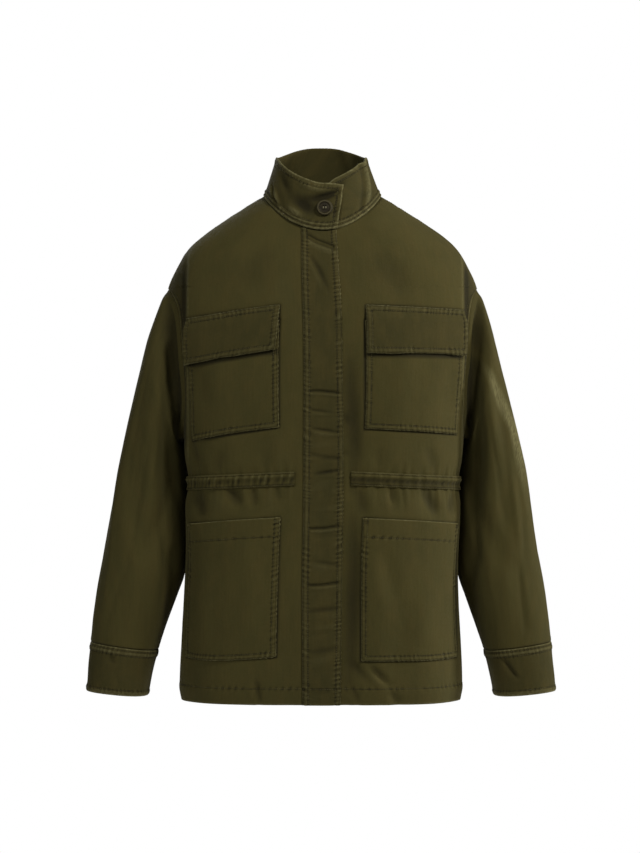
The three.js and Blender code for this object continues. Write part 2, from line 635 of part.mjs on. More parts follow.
const knob = add('collar_button', button(), HORN, 0.45);
const seat = (angle, height) => collarPoint(angle, height, 0);
const face = normalOf(seat, BUTTON.angle, BUTTON.height, 0.5, 0.02, new THREE.Vector3(0, -1, 0));
knob.quaternion.setFromUnitVectors(new THREE.Vector3(0, 1, 0), face);
knob.position.copy(seat(BUTTON.angle, BUTTON.height)).addScaledVector(face, LAY + 0.3);

export default jacket;
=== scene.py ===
"""Funnel-neck utility jacket in washed cotton twill, dressed over its packed panels.

Sizes are in millimetres in the jacket's own frame: +Z up, +X to the wearer's left, front towards -Y.
Each sewn piece is a thin shell on the form of its panel, with creases, puckered seams and thread.
Meshes are handed to the scene in metres.
"""

import logging
import math
from dataclasses import dataclass, field
from enum import Enum
from typing import Callable

import bpy
import numpy as np
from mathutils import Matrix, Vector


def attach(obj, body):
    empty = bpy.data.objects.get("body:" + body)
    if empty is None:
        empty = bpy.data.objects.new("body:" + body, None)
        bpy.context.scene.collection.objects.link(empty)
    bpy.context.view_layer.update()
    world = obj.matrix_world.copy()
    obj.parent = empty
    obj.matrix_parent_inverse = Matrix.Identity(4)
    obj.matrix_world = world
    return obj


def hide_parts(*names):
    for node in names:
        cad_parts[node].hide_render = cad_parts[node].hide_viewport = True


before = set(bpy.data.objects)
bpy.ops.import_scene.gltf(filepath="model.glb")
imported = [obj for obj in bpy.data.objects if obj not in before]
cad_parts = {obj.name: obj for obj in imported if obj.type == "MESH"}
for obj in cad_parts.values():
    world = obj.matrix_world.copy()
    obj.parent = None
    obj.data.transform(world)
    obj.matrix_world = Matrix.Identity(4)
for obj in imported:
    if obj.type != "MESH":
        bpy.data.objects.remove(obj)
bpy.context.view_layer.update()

Array = np.ndarray
LOG = logging.getLogger("jacket")
MM = 0.001


class Side(Enum):
    """The wearer's side of a paired piece, as the sign of its x."""

    RIGHT = -1
    LEFT = 1

    @property
    def word(self) -> str:
        """The side as it ends a node's name."""
        return self.name.lower()


class Edge(Enum):
    """An edge of a sewn piece's grid of points."""

    START = "first column"
    END = "last column"
    LOW = "first row"
    HIGH = "last row"


def smooth(low: float, high: float, value: Array) -> Array:
    """Soft step from 0 at low to 1 at high."""
    t = np.clip((value - low) / (high - low), 0.0, 1.0)
    return t * t * (3 - 2 * t)


def bump(value: Array, centre: float, width: float) -> Array:
    """Bell of height 1 about centre."""
    return np.exp(-(((value - centre) / width) ** 2))


def unit(vectors: Array) -> Array:
    """Vectors scaled to length 1."""
    return vectors / np.maximum(np.linalg.norm(vectors, axis=-1, keepdims=True), 1e-9)


def corner_value(ix: Array, iy: Array, iz: Array, seed: int) -> Array:
    """Repeatable number from -1 to 1 for each whole-numbered corner.

    Args:
        ix: corners along x.
        iy: corners along y.
        iz: corners along z.
        seed: picks another set of numbers.

    Returns:
        One number for each corner.
    """
    mixed = (ix * 374761393 + iy * 668265263 + iz * 1103515245 + seed * 144665) & 0xFFFFFFFF
    mixed = ((mixed ^ (mixed >> 13)) * 1274126177) & 0xFFFFFFFF
    return ((mixed ^ (mixed >> 16)) & 0xFFFF) / 32767.5 - 1.0


def waver(x: Array, y: Array | float = 0.0, z: Array | float = 0.0, seed: int = 0) -> Array:
    """Smooth wandering value from about -1 to 1.

    Args:
        x: first coordinate, in steps of the wander.
        y: second coordinate.
        z: third coordinate.
        seed: picks one wander out of many.

    Returns:
        Array of the coordinates' common shape.
    """
    x, y, z = np.broadcast_arrays(np.asarray(x, float), y, z)
    cells = [np.floor(c).astype(np.int64) for c in (x, y, z)]
    shares = [smooth(0, 1, c - f) for c, f in zip((x, y, z), cells)]
    total = np.zeros(x.shape)
    for dx in (0, 1):
        for dy in (0, 1):
            for dz in (0, 1):
                weight = 1.0
                for share, d in zip(shares, (dx, dy, dz)):
                    weight = weight * (share if d else 1 - share)
                total += weight * corner_value(cells[0] + dx, cells[1] + dy, cells[2] + dz, seed)
    return total


def ripple(along: Array, across: Array, pitch: float, seed: int) -> Array:
    """Uneven pucker of a seam, from -1 to 1.

    Args:
        along: distance along the seam.
        across: distance from the seam.
        pitch: mean distance between puckers.
        seed: picks one run of puckers.

    Returns:
        Height of the pucker at each point.
    """
    drift = 0.9 * waver(along / (3.1 * pitch), 0.0, 0.5, seed) + 0.03 * across
    strength = np.maximum(0.5 + 0.8 * waver(along / (1.9 * pitch), across / 30, 4.5, seed + 7), 0.08)
    return np.sin(2 * np.pi * (along / pitch + drift)) * strength


@dataclass(frozen=True)
class Table:
    """Sizes in named columns, read along the first one with a smooth curve between rows."""

    columns: tuple[str, ...]
    rows: tuple[tuple[float, ...], ...]

    def read(self, column: str, key: Array) -> Array:
        """One column's size at each key.

        Args:
            column: name of the column.
            key: values of the first column, held at the table's ends.

        Returns:
            Sizes in the shape of key.
        """
        data = np.array(self.rows, float)
        if data[0, 0] > data[-1, 0]:
            data = data[::-1]
        keys, values = data[:, 0], data[:, self.columns.index(column)]
        last = len(keys) - 1
        before = np.maximum(np.arange(last + 1) - 1, 0)
        after = np.minimum(np.arange(last + 1) + 1, last)
        slopes = (values[after] - values[before]) / (keys[after] - keys[before])
        at = np.clip(key, keys[0], keys[-1])
        i = np.clip(np.searchsorted(keys, at, side="right") - 1, 0, last - 1)
        span = keys[i + 1] - keys[i]
        t = (at - keys[i]) / span
        start = (2 * t**3 - 3 * t**2 + 1) * values[i] + (t**3 - 2 * t**2 + t) * slopes[i] * span
        return start + (3 * t**2 - 2 * t**3) * values[i + 1] + (t**3 - t**2) * slopes[i + 1] * span


RING_COLUMNS = ("side", "front", "back", "half", "chest", "rear", "power")
RINGS = Table(
    RING_COLUMNS,
    (
        (-708, -708, -708, 197.5, 131, 127, 2.9),
        (-690, -690, -690, 200.5, 133, 129, 2.9),
        (-628, -628, -628, 198.5, 134, 128, 2.9),
        (-570, -570, -570, 195.5, 133, 125, 2.9),
        (-510, -510, -510, 193.5, 131, 121, 2.9),
        (-430, -430, -430, 195, 129, 116, 2.85),
        (-398, -398, -398, 191.5, 128, 113, 2.8),
        (-365, -365, -365, 196.5, 130, 117, 2.8),
        (-300, -300, -300, 202, 134, 126, 2.7),
        (-230, -230, -230, 218, 134, 131, 2.4),
        (-170, -170, -170, 227, 128, 130, 2.25),
        (-121, -121, -121, 221, 119, 125, 2.3),
        (-88, -100, -86, 206.5, 114, 119, 2.4),
        (-65, -88, -60, 192.5, 110, 112, 2.3),
        (-45, -78, -38, 171, 105.5, 102, 2.25),
        (-27, -68, -17, 146, 101, 91, 2.2),
        (-11, -59, 1, 121, 96.5, 81, 2.15),
        (2, -50, 14, 101, 92, 72, 2.1),
        (12, -42, 24, 84, 88, 65, 2.1),
    ),
)

# Large folds: place across and along, length, width, depth (a trough under zero) and slant.
BODY_FOLDS = (
    (15.5, -560, 330, 7.5, -3.2, 0.4),
    (31, -590, 300, 8, 2.4, 1.2),
    (52, -690, 240, 8, 3.2, -2),
    (69, -640, 260, 8, -2.6, 1),
    (-20, -640, 240, 7.5, -2, -1.5),
    (-47, -700, 260, 9, 3, 2.4),
    (-66, -600, 240, 8, -2.6, -1),
    (15, -300, 170, 7.5, -1.8, 5),
    (40, -255, 150, 6, 1.8, 7),
    (-44, -280, 170, 7, -2, -6),
    (148, -590, 320, 9.5, -5.5, 1.5),
    (165, -630, 290, 9, 3.4, 0.5),
    (-172, -585, 300, 9.5, -4, -1),
    (-146, -600, 320, 9.5, -5.2, -2),
    (-128, -660, 240, 7, 3.4, 1),
    (124, -650, 250, 7, 3.2, -1.2),
    (134, -275, 180, 9, -4.6, 8),
    (-137, -265, 180, 9, -4.2, -9),
    (160, -180, 170, 10, 2.6, -3),
)

SECTION_COLUMNS = ("step", "outX", "outZ", "inX", "inZ", "deep", "mid", "power")
SLEEVE = Table(
    SECTION_COLUMNS,
    (
        (0, 221, -121, 198, -336, 72, 0, 2.75),
        (1, 228.5, -138, 203.5, -338, 74, 0, 2.7),
        (2, 244.5, -188, 205, -341, 75, 1, 2.6),
        (3, 258.5, -240, 203.5, -346, 74.5, 2, 2.5),
        (4, 270, -287, 202, -354, 73, 3, 2.45),
        (5, 279.5, -326, 200, -366, 71, 4, 2.4),
        (6, 287.5, -361, 199.3, -384, 68.5, 4, 2.35),
        (7, 294.5, -393, 198.3, -410, 66.5, 3.5, 2.3),
        (8, 300.5, -424, 197.4, -440, 64.5, 2, 2.3),
        (9, 306.5, -456, 196.8, -472, 63, 0, 2.25),
        (10, 311.5, -488, 196.6, -504, 61, -3, 2.25),
        (11, 316, -518, 199, -533, 59, -6.5, 2.25),
        (12, 320.5, -548, 208.5, -562, 57, -10, 2.2),
        (13, 325, -586, 221, -599, 54, -14, 2.2),
        (14, 328.5, -624.5, 234, -638.5, 51, -17, 2.2),
    ),
)
SLEEVE_FOLDS = (
    (38, 5.5, 8, 17, 3.2, 2),
    (72, 6, 7.5, 15, -4, 2.5),
    (118, 8.6, 4.4, 15, -4.6, -13),
    (96, 11.6, 4, 13, 3, 7),
    (150, 11.2, 3.4, 14, -3.6, 12),
    (262, 8.2, 4, 16, -5, 15),
    (292, 10.4, 4.4, 14, 3.2, -10),
    (318, 5, 5.5, 17, -3.4, 5),
    (236, 11.8, 3, 15, -3.6, -9),
)
CUFF = Table(
    SECTION_COLUMNS,
    (
        (0, 328.6, -625.2, 234.2, -639.2, 51, -17.1, 2.2),
        (1, 331, -648, 239, -661, 50, -18.3, 2.2),
        (2, 333, -671, 243.5, -682, 48.5, -19.5, 2.2),
        (3, 334.5, -695, 247.5, -704, 47.5, -20.5, 2.2),
    ),
)
LEAN = Table(("z", "shift"), ((-708, 0), (-550, 1), (-400, 5.5), (-200, 9), (-60, 4), (90, 0)))
FLY_EDGES = Table(
    ("level", "left", "right"),
    (
        (-708, -25.5, 26),
        (-560, -27, 27.1),
        (-366, -30.4, 23.9),
        (-254, -32.4, 20.4),
        (-142, -32.9, 19.4),
        (12, -30.4, 17.6),
    ),
)


def fold_sum(rows: tuple, across: Array, along: Array, step: float) -> Array:
    """Height of all large folds at each point.

    Args:
        rows: folds as place across and along, length, width, depth and slant.
        across: degrees round the piece.
        along: place along the piece.
        step: length along the piece to which the slant belongs.

    Returns:
        Height in millimetres.
    """
    total = np.zeros(np.broadcast(across, along).shape)
    for centre, middle, length, width, depth, slant in rows:
        up = (along - middle) / step
        aside = (across - centre + 180) % 360 - 180 - slant * up
        total += depth * np.exp(-((aside / width) ** 2) - (2 * up * step / length) ** 4)
    return total


def lean(points: Array) -> Array:
    """Points of the straight form, leant and tapered as the worn jacket stands.

    Args:
        points: points of the straight form.

    Returns:
        The points as they stand.
    """
    x, y, z = points[..., 0], points[..., 1], points[..., 2]
    fade = np.maximum(0.0, 1 - (np.abs(x) / 245) ** 4)
    out = points.copy()
    out[..., 0] = x * (0.992 - 0.032 * np.tanh(y / 40)) + LEAN.read("shift", z) * fade
    return out


ARMHOLE_SET_BACK = 9.5
OUTER_SIDE_TURN = 15.0


def strip(points: Array) -> Array:
    """Share from 0 to 1 of the strip beside each armhole's front, where the cloth falls back.

    Args:
        points: points as they stand.

    Returns:
        The share at each point.
    """
    x, y, z = points[..., 0], points[..., 1], points[..., 2]
    edge = np.where(x < 0, smooth(-188.5, -196, x), smooth(200.5, 208, x))
    return edge * smooth(-66, -112, z) * smooth(-366, -330, z) * smooth(-12, -40, y)


def tuck(points: Array, share: Array | float = 1.0) -> Array:
    """Points of the cloth with the strip beside each armhole's front set back, as the arm hangs.

    Args:
        points: points as they stand.
        share: how much of the set-back each point takes.

    Returns:
        Points with y changed.
    """
    out = points.copy()
    out[..., 1] += ARMHOLE_SET_BACK * strip(points) * share
    return out


def outer_side(turn: Array) -> Array:
    """Share from 0 to 1 of the outer side of a sleeve or cuff, which the photo shows slimmer."""
    return np.clip(np.cos(np.radians(turn - OUTER_SIDE_TURN)), 0, 1)


def solve(low: Array, high: Array, test: Callable[[Array], Array]) -> Array:
    """Where a rising test turns false between low and high, by halving.

    Args:
        low: values at which the test is true.
        high: values at which it is false.
        test: the test.

    Returns:
        The values between at which it turns.
    """
    a, b = np.array(low, float), np.array(high, float)
    for _ in range(34):
        middle = (a + b) / 2
        true = test(middle)
        a, b = np.where(true, middle, a), np.where(true, b, middle)
    return (a + b) / 2


def angle_of(turn: Array) -> Array:
    """Angle of an even step round the ring, crowded where the ring bends most."""
    t = np.radians(turn)
    return turn + np.degrees(0.0875 * np.sin(4 * t) + 0.125 * np.sin(2 * t))


def between(start: float | Array, stop: float | Array, share: Array) -> Array:
    """Angle a share of the way from start to stop, in crowded steps."""
    ends = [solve(np.subtract(a, 30), np.add(a, 30), lambda t, a=a: angle_of(t) < a) for a in (start, stop)]
    return angle_of(ends[0] + (ends[1] - ends[0]) * share)


@dataclass(frozen=True)
class Crease:
    """A crease drawn in x and z as the front, or the back, is seen square on.

    depth under zero is a trough; lip is the share of it that rises along one side.
    """

    points: tuple[tuple[float, float], ...]
    width: float
    depth: float
    lip: float = 0.35
    behind: bool = False
    even: bool = False

    def height(self, x: Array, z: Array, y: Array) -> Array:
        """Height of the crease at points of the cloth.

        Args:
            x: x of each point.
            z: z of each point.
            y: y of each point, which says front or back.

        Returns:
            Height in millimetres.
        """
        line = np.array(self.points, float)
        spans = np.diff(line, axis=0)
        lengths = np.linalg.norm(spans, axis=1)
        nearest, signed, run = np.full(x.shape, 1e9), np.zeros(x.shape), np.zeros(x.shape)
        done = 0.0
        for (px, pz), (sx, sz), length in zip(line, spans, lengths):
            share = np.clip(((x - px) * sx + (z - pz) * sz) / length**2, 0, 1)
            ox, oz = x - px - share * sx, z - pz - share * sz
            far = np.hypot(ox, oz)
            closer = far < nearest
            nearest = np.where(closer, far, nearest)
            signed = np.where(closer, far * np.sign(ox * sz - oz * sx + 1e-12), signed)
            run = np.where(closer, done + share * length, run)
            done += length
        ends = 1.0 if self.even else np.sin(np.pi * np.clip(run / done, 0.04, 0.96)) ** 0.7
        trough = 1.9 * bump(signed, 0.0, self.width) - self.lip * bump(signed, 2.1 * self.width, 1.3 * self.width)
        facing = smooth(-8, 8, y) if self.behind else smooth(8, -8, y)
        return self.depth * trough * ends * facing


BODY_CREASES = (
    Crease(((38, -212), (43, -290), (47, -360), (44, -402)), 11, -2.9, 0.4),
    Crease(((43, -412), (45, -500), (42, -600), (38, -706)), 11, -3.2, 0.4),
    Crease(((30, -300), (39, -316)), 4, -1.2),
    Crease(((28, -352), (40, -362)), 4, -1.0),
    Crease(((-185, -334), (-173, -374)), 5, -1.6),
    Crease(((-132, -402), (-112, -432)), 9, -3.0),
    Crease(((-176, -406), (-168, -450)), 9, -2.6),
    Crease(((-97, -404), (-92, -434)), 7, -2.0),
    Crease(((-62, -404), (-58, -426)), 6, -1.5),
    Crease(((52, -406), (62, -446)), 8, -2.4),
    Crease(((98, -404), (102, -428)), 6, -1.7),
    Crease(((144, -404), (164, -446)), 9, -2.8),
    Crease(((186, -408), (184, -446)), 7, -2.3),
    Crease(((-150, -386), (-140, -352)), 8, -1.1),
    Crease(((-80, -384), (-74, -350)), 8, -0.8),
    Crease(((84, -380), (78, -346)), 8, -0.9),
    Crease(((160, -384), (150, -346)), 8, -1.1),
    Crease(((84, -480), (104, -570)), 13, -1.5, 0.5),
    Crease(((152, -530), (138, -632)), 15, 1.4, 0.3),
    Crease(((68, -652), (94, -678)), 4.5, -2.4, 0.6),
    Crease(((40, -646), (66, -676)), 6, -1.5, 0.5),
    Crease(((-91, -672), (-86, -708)), 4, -2.0, 0.6),
    Crease(((46, -686), (52, -708)), 4, -1.5, 0.5),
    Crease(((96, -688), (112, -708)), 6, -1.2, 0.5),
    Crease(((-146, -480), (-150, -640)), 16, -1.6, 0.5),
    Crease(((-102, -470), (-96, -630)), 14, 1.2, 0.3),
    Crease(((-191, -70), (-192, -120), (-193, -176)), 1.9, -1.5, 0.7),
    Crease(((205, -92), (205, -130), (206, -182)), 1.9, -1.5, -0.7),
    Crease(((-60, -60), (-120, -130)), 22, -0.9, 0.4),
    Crease(((70, -70), (130, -140)), 24, -0.9, 0.4),
    Crease(((-176, -236), (-160, -300)), 13, -1.2, 0.4),
    Crease(((190, -236), (172, -306)), 13, -1.2, 0.4),
    Crease(((-150, -196), (-92, -316)), 14, -2.2, 0.5, True),
    Crease(((152, -190), (88, -320)), 14, -2.0, 0.5, True),
    Crease(((6, -110), (0, -240), (8, -350)), 20, -1.2, 0.4, True),
    Crease(((-152, -404), (-140, -440)), 7, -1.7, 0.4, True),
    Crease(((-96, -402), (-92, -436)), 7, -1.5, 0.4, True),
    Crease(((-40, -402), (-44, -440)), 8, -1.7, 0.4, True),
    Crease(((22, -402), (26, -430)), 7, -1.3, 0.4, True),
    Crease(((78, -402), (86, -442)), 8, -1.7, 0.4, True),
    Crease(((140, -404), (136, -436)), 7, -1.5, 0.4, True),
    Crease(((-120, -384), (-112, -346)), 8, -1.2, 0.4, True),
    Crease(((-14, -384), (-8, -350)), 8, -1.0, 0.4, True),
    Crease(((104, -384), (96, -344)), 8, -1.2, 0.4, True),
    Crease(((-128, -470), (-112, -690)), 15, -2.2, 0.4, True),
    Crease(((50, -480), (62, -700)), 16, -2.0, 0.4, True),
    Crease(((130, -560), (112, -690)), 12, 1.5, 0.3, True),
    Crease(((-62, -676), (-56, -708)), 4.5, -1.6, 0.5, True),
)
FLY_CREASES = (
    Crease(((-26, -46), (-8, -57), (20, -68)), 3.4, -1.5, 0.7, False, True),
    Crease(((-18, -74), (-3, -98), (11, -130)), 3.4, -0.8, 0.6),
    Crease(((-26, -269), (2, -270), (30, -273)), 1.7, -1.1, 0.8, False, True),
    Crease(((-24, -295), (18, -300)), 2.0, -0.7, 0.6),
    Crease(((-20, -321), (30, -328)), 2.2, -0.9, 0.6),
    Crease(((-26, -356), (4, -362), (30, -364)), 3.4, -0.6, 0.5, False, True),
    Crease(((-10, -386), (34, -379)), 2.4, -0.9, 0.5),
    Crease(((-26, -462), (5, -461), (30, -457)), 1.8, -1.1, 0.8, False, True),
    Crease(((-14, -507), (32, -513)), 2.8, -0.7, 0.5),
    Crease(((-26, -541), (2, -540), (30, -536)), 1.8, -1.1, 0.8, False, True),
    Crease(((-24, -578), (30, -572)), 4, -0.7, 0.5),
    Crease(((-26, -635), (30, -629)), 5, -0.6, 0.5),
)


@dataclass
class BodyForm:
    """The body's outer face as angle round it, 0 in front and 90 at the wearer's left, and level."""

    rings: Table = RINGS
    folds: tuple = BODY_FOLDS
    creases: tuple[Crease, ...] = BODY_CREASES
    hem: float = -708.0
    neck: float = 12.0
    arm_top: float = -121.0
    arm_low: float = -336.0
    arm_half: float = 72.0
    arm_powers: tuple[float, float] = (3.2, 2.3)
    seam: float = 0.36
    waist: float = -391.0
    waist_drop: float = 9.0

    def form(self, angle: Array, level: Array) -> Array:
        """Points of the face before the lean.

        Args:
            angle: degrees round the body, 0 in front.
            level: height in the straight form.

        Returns:
            The points, in millimetres.
        """
        angle, level = np.broadcast_arrays(np.asarray(angle, float), np.asarray(level, float))
        ring = {c: self.rings.read(c, level) for c in RING_COLUMNS[1:]}
        sin, cos = np.sin(np.radians(angle)), np.cos(np.radians(angle))
        deep = np.where(cos > 0, ring["chest"], ring["rear"])
        power = ring["power"]
        radius = (np.abs(cos / deep) ** power + np.abs(sin / ring["half"]) ** power) ** (-1 / power)
        radius = radius + fold_sum(self.folds, angle, level, 100)
        height = np.where(cos > 0, ring["front"], ring["back"])
        return np.stack([radius * sin, -radius * cos, level + (height - level) * cos * cos], axis=-1)

    def place(self, angle: Array, level: Array) -> Array:
        """Points of the face as it stands."""
        return lean(self.form(angle, level))

    def normal(self, angle: Array, level: Array) -> Array:
        """Outward directions of the face.

        Args:
            angle: degrees round the body, 0 in front.
            level: height in the straight form.

        Returns:
            Directions of length 1.
        """
        angle, level = np.broadcast_arrays(np.asarray(angle, float), np.asarray(level, float))
        inside = np.clip(level, self.hem + 0.6, self.neck - 0.6)
        across = self.place(angle + 0.2, inside) - self.place(angle - 0.2, inside)
        along = self.place(angle, inside + 0.5) - self.place(angle, inside - 0.5)
        normal = unit(np.cross(across, along))
        out = np.stack([np.sin(np.radians(angle)), -np.cos(np.radians(angle)), np.full(angle.shape, 0.4)], -1)
        return normal * np.where(np.sum(normal * out, -1, keepdims=True) < 0, -1.0, 1.0)

    def waist_level(self, angle: Array) -> Array:
        """Level of the drawcord casing's middle."""
        return self.waist - self.waist_drop * np.sin(np.radians(angle)) ** 2

    def drape(self, angle: Array, level: Array, points: Array) -> Array:
        """Height of the creases, gathers and waves that everything on the body shares.

        Args:
            angle: degrees round the body.
            level: level of each point.
            points: the same points on the smooth face.

        Returns:
            Height in millimetres.
        """
        x, y, z = points[..., 0], points[..., 1], points[..., 2]
        height = 1.0 * waver(x / 62, y / 62, z / 150, 11) + 0.4 * waver(x / 26, y / 26, z / 58, 12)
        height = height + 0.14 * waver(x / 9, y / 9, z / 13, 13)
        for crease in self.creases:
            height = height + crease.height(x, z, y)
        gather = ripple(angle * 3.0, z * 0.1, 17, 21) + 0.6 * ripple(angle * 3.0, z * 0.1, 9, 22)
        gather = gather * (1 - bump((angle + 180) % 360 - 180, -1, 12))
        off_waist = level - self.waist_level(angle)
        height = height + 0.95 * gather * np.where(off_waist > 0, bump(off_waist, 8, 15), bump(off_waist, -8, 26))
        settle = smooth(self.neck + 1, self.neck - 16, level)
        return height * settle

    def lay(self, angle: Array, level: Array, height: Array | float, creased: bool = True) -> Array:
        """Points at a height above the draped face.

        Args:
            angle: degrees round the body.
            level: level of each point.
            height: distance from the face.
            creased: False leaves the creases out.

        Returns:
            Points with x, y and z last.
        """
        points = self.place(angle, level)
        drape = self.drape(angle, level, points) if creased else 0.0
        return points + self.normal(angle, level) * np.asarray(drape + height)[..., None]

    def angle_at_x(self, x: Array, level: Array) -> Array:
        """Angle at which the front has a given x before the lean.

        Args:
            x: the x to reach.
            level: height at which to reach it.

        Returns:
            The angle in degrees.
        """
        ends = np.broadcast_arrays(np.asarray(x, float), np.asarray(level, float))
        low, high = np.full(ends[0].shape, -90.0), np.full(ends[0].shape, 90.0)
        return solve(low, high, lambda a: self.form(a, ends[1])[..., 0] < ends[0])

    def angle_at_depth(self, depth: Array, level: Array, behind: bool) -> Array:
        """Angle on the wearer's left at a given distance before or behind the mid-plane.

        Args:
            depth: distance from the mid-plane.
            level: height in the straight form.
            behind: whether it lies behind the mid-plane.

        Returns:
            The angle in degrees.
        """
        low, high = np.full(depth.shape, 90.0), np.full(depth.shape, 180.0)
        if behind:
            return solve(low, high, lambda a: self.form(a, level)[..., 1] < depth)
        return 90 - solve(low - 90, high - 90, lambda t: -self.form(90 - t, level)[..., 1] < depth)

    def arm_half_at(self, level: Array) -> Array:
        """Half the armhole's opening in y at each level.

        Args:
            level: height in the straight form.

        Returns:
            Half the opening, 0 beyond its ends.
        """
        middle, tall = (self.arm_top + self.arm_low) / 2, (self.arm_top - self.arm_low) / 2
        up = np.clip((level - middle) / tall, -1, 1)
        power = np.where(up > 0, self.arm_powers[0], self.arm_powers[1])
        return self.arm_half * (1 - np.abs(up) ** power) ** (1 / power)

    def side_edge(self, level: Array, behind: bool) -> Array:
        """Angle of the side seam, armhole and shoulder seam on the wearer's left."""
        return self.angle_at_depth(np.maximum(self.arm_half_at(level), self.seam / 2), level, behind)

    def levels(self, pitch: float) -> Array:
        """Levels of a panel's rows from hem to neck, closer at the hem and at the armhole's ends.

        Args:
            pitch: usual distance between rows.

        Returns:
            An odd number of levels.
        """
        low = np.concatenate([np.arange(self.hem, -676, 1.6), np.arange(-676, self.arm_low - pitch / 2, pitch)])
        share = np.linspace(0, np.pi, int((self.arm_top - self.arm_low) / pitch) + 6)
        arm = (self.arm_top + self.arm_low) / 2 - (self.arm_top - self.arm_low) / 2 * np.cos(share)
        high = np.linspace(self.arm_top, self.neck, int((self.neck - self.arm_top) / pitch))[1:]
        rows = np.concatenate([low, arm, high])
        return rows if len(rows) % 2 else np.delete(rows, 40)


def spaced(length: float, pitch: float, band: float, fine: float, ends: tuple[bool, bool] = (True, True)) -> Array:
    """Shares from 0 to 1 in an even number of steps, finer in a band at the chosen ends.

    Args:
        length: length that the shares cover.
        pitch: step between the bands.
        band: width of each finer band.
        fine: step inside a band.
        ends: whether the start and the end have a band.

    Returns:
        Rising shares.
    """
    steps = [0.4 * fine, 0.6 * fine] + [fine] * int(band / fine)
    start = steps if ends[0] else []
    stop = steps[::-1] if ends[1] else []
    rest = length - sum(start) - sum(stop)
    count = max(2, round(rest / pitch))
    count += (count + len(start) + len(stop)) % 2
    runs = start + [rest / count] * count + stop
    return np.concatenate([[0.0], np.cumsum(runs)]) / length


@dataclass
class Relief:
    """Height that a piece's sewing adds, and its wear and painted light: over zero pale, for worn edges and painted
    highlights; under zero dark, for painted shade in grooves, creases and recesses.
    """

    height: Array
    wear: Array

    def add(self, other: "Relief", where: Array | float = 1.0) -> None:
        """Adds another relief, in full or in part."""
        self.height = self.height + other.height * where
        self.wear = self.wear + other.wear * where


def plain(shape: tuple[int, ...]) -> Relief:
    """A relief with nothing in it."""
    return Relief(np.zeros(shape), np.zeros(shape))


@dataclass(frozen=True)
class Seam:
    """Topstitched seam: its rows of thread by distance from the edge, how it puckers, and the pale worn edge, painted
    highlights and painted shade that go with it.
    """

    lines: tuple[float, ...] = (1.8, 7.6)
    pitch: float = 6.6
    swell: float = 0.4
    pucker: float = 0.66
    reach: float = 9.0
    # edge sets the pale worn edge, partly a painted highlight; dark sets the painted shade in the stitch grooves.
    edge: float = 0.9
    dark: float = 1.0

    def relief(self, distance: Array, along: Array, seed: int) -> Relief:
        """Relief of the seam.

        Args:
            distance: distance of each point from the edge.
            along: place of each point along the edge.
            seed: picks one run of puckers.

        Returns:
            Heights, and wear with painted light and shade.
        """
        last = max(self.lines)
        shaded_groove = sum(bump(distance, line, 0.8) for line in self.lines)
        near = np.max([bump(distance, line, 3.2) for line in self.lines], axis=0)
        band = smooth(last + 1.2, last - 0.8, distance)
        fade = smooth(last + self.reach, last - 1, distance) * smooth(last - 14, last - 4, distance)
        wave = ripple(along, distance, self.pitch, seed)
        height = self.swell * band - 0.5 * shaded_groove + self.pucker * wave * (0.9 * near + 0.45 * fade)
        rubbed_and_lit = 0.75 + 0.5 * waver(along / 9, distance / 3, 2.5, seed + 3)
        specks = np.abs(ripple(along, distance, 0.62 * self.pitch, seed + 9))
        # Pale worn edge, partly a painted highlight, and painted shade in the stitch grooves, broken into dark stitch
        # holes.
        wear = 2.0 * self.edge * rubbed_and_lit * bump(distance, 0.6, 1.1) - 2.1 * self.dark * shaded_groove * (0.42 + 0.58 * specks)
        # Pucker tops painted paler and pucker hollows painted darker, as light and shade.
        wear = wear + 0.6 * near * np.maximum(wave, 0) - 0.75 * near * np.maximum(-wave, 0)
        # For narrow seams the raised band inside the stitching is painted paler, partly as wear and partly as light on
        # it.
        if last < 12:
            wear = wear + 0.26 * rubbed_and_lit * band
        return Relief(height, wear)


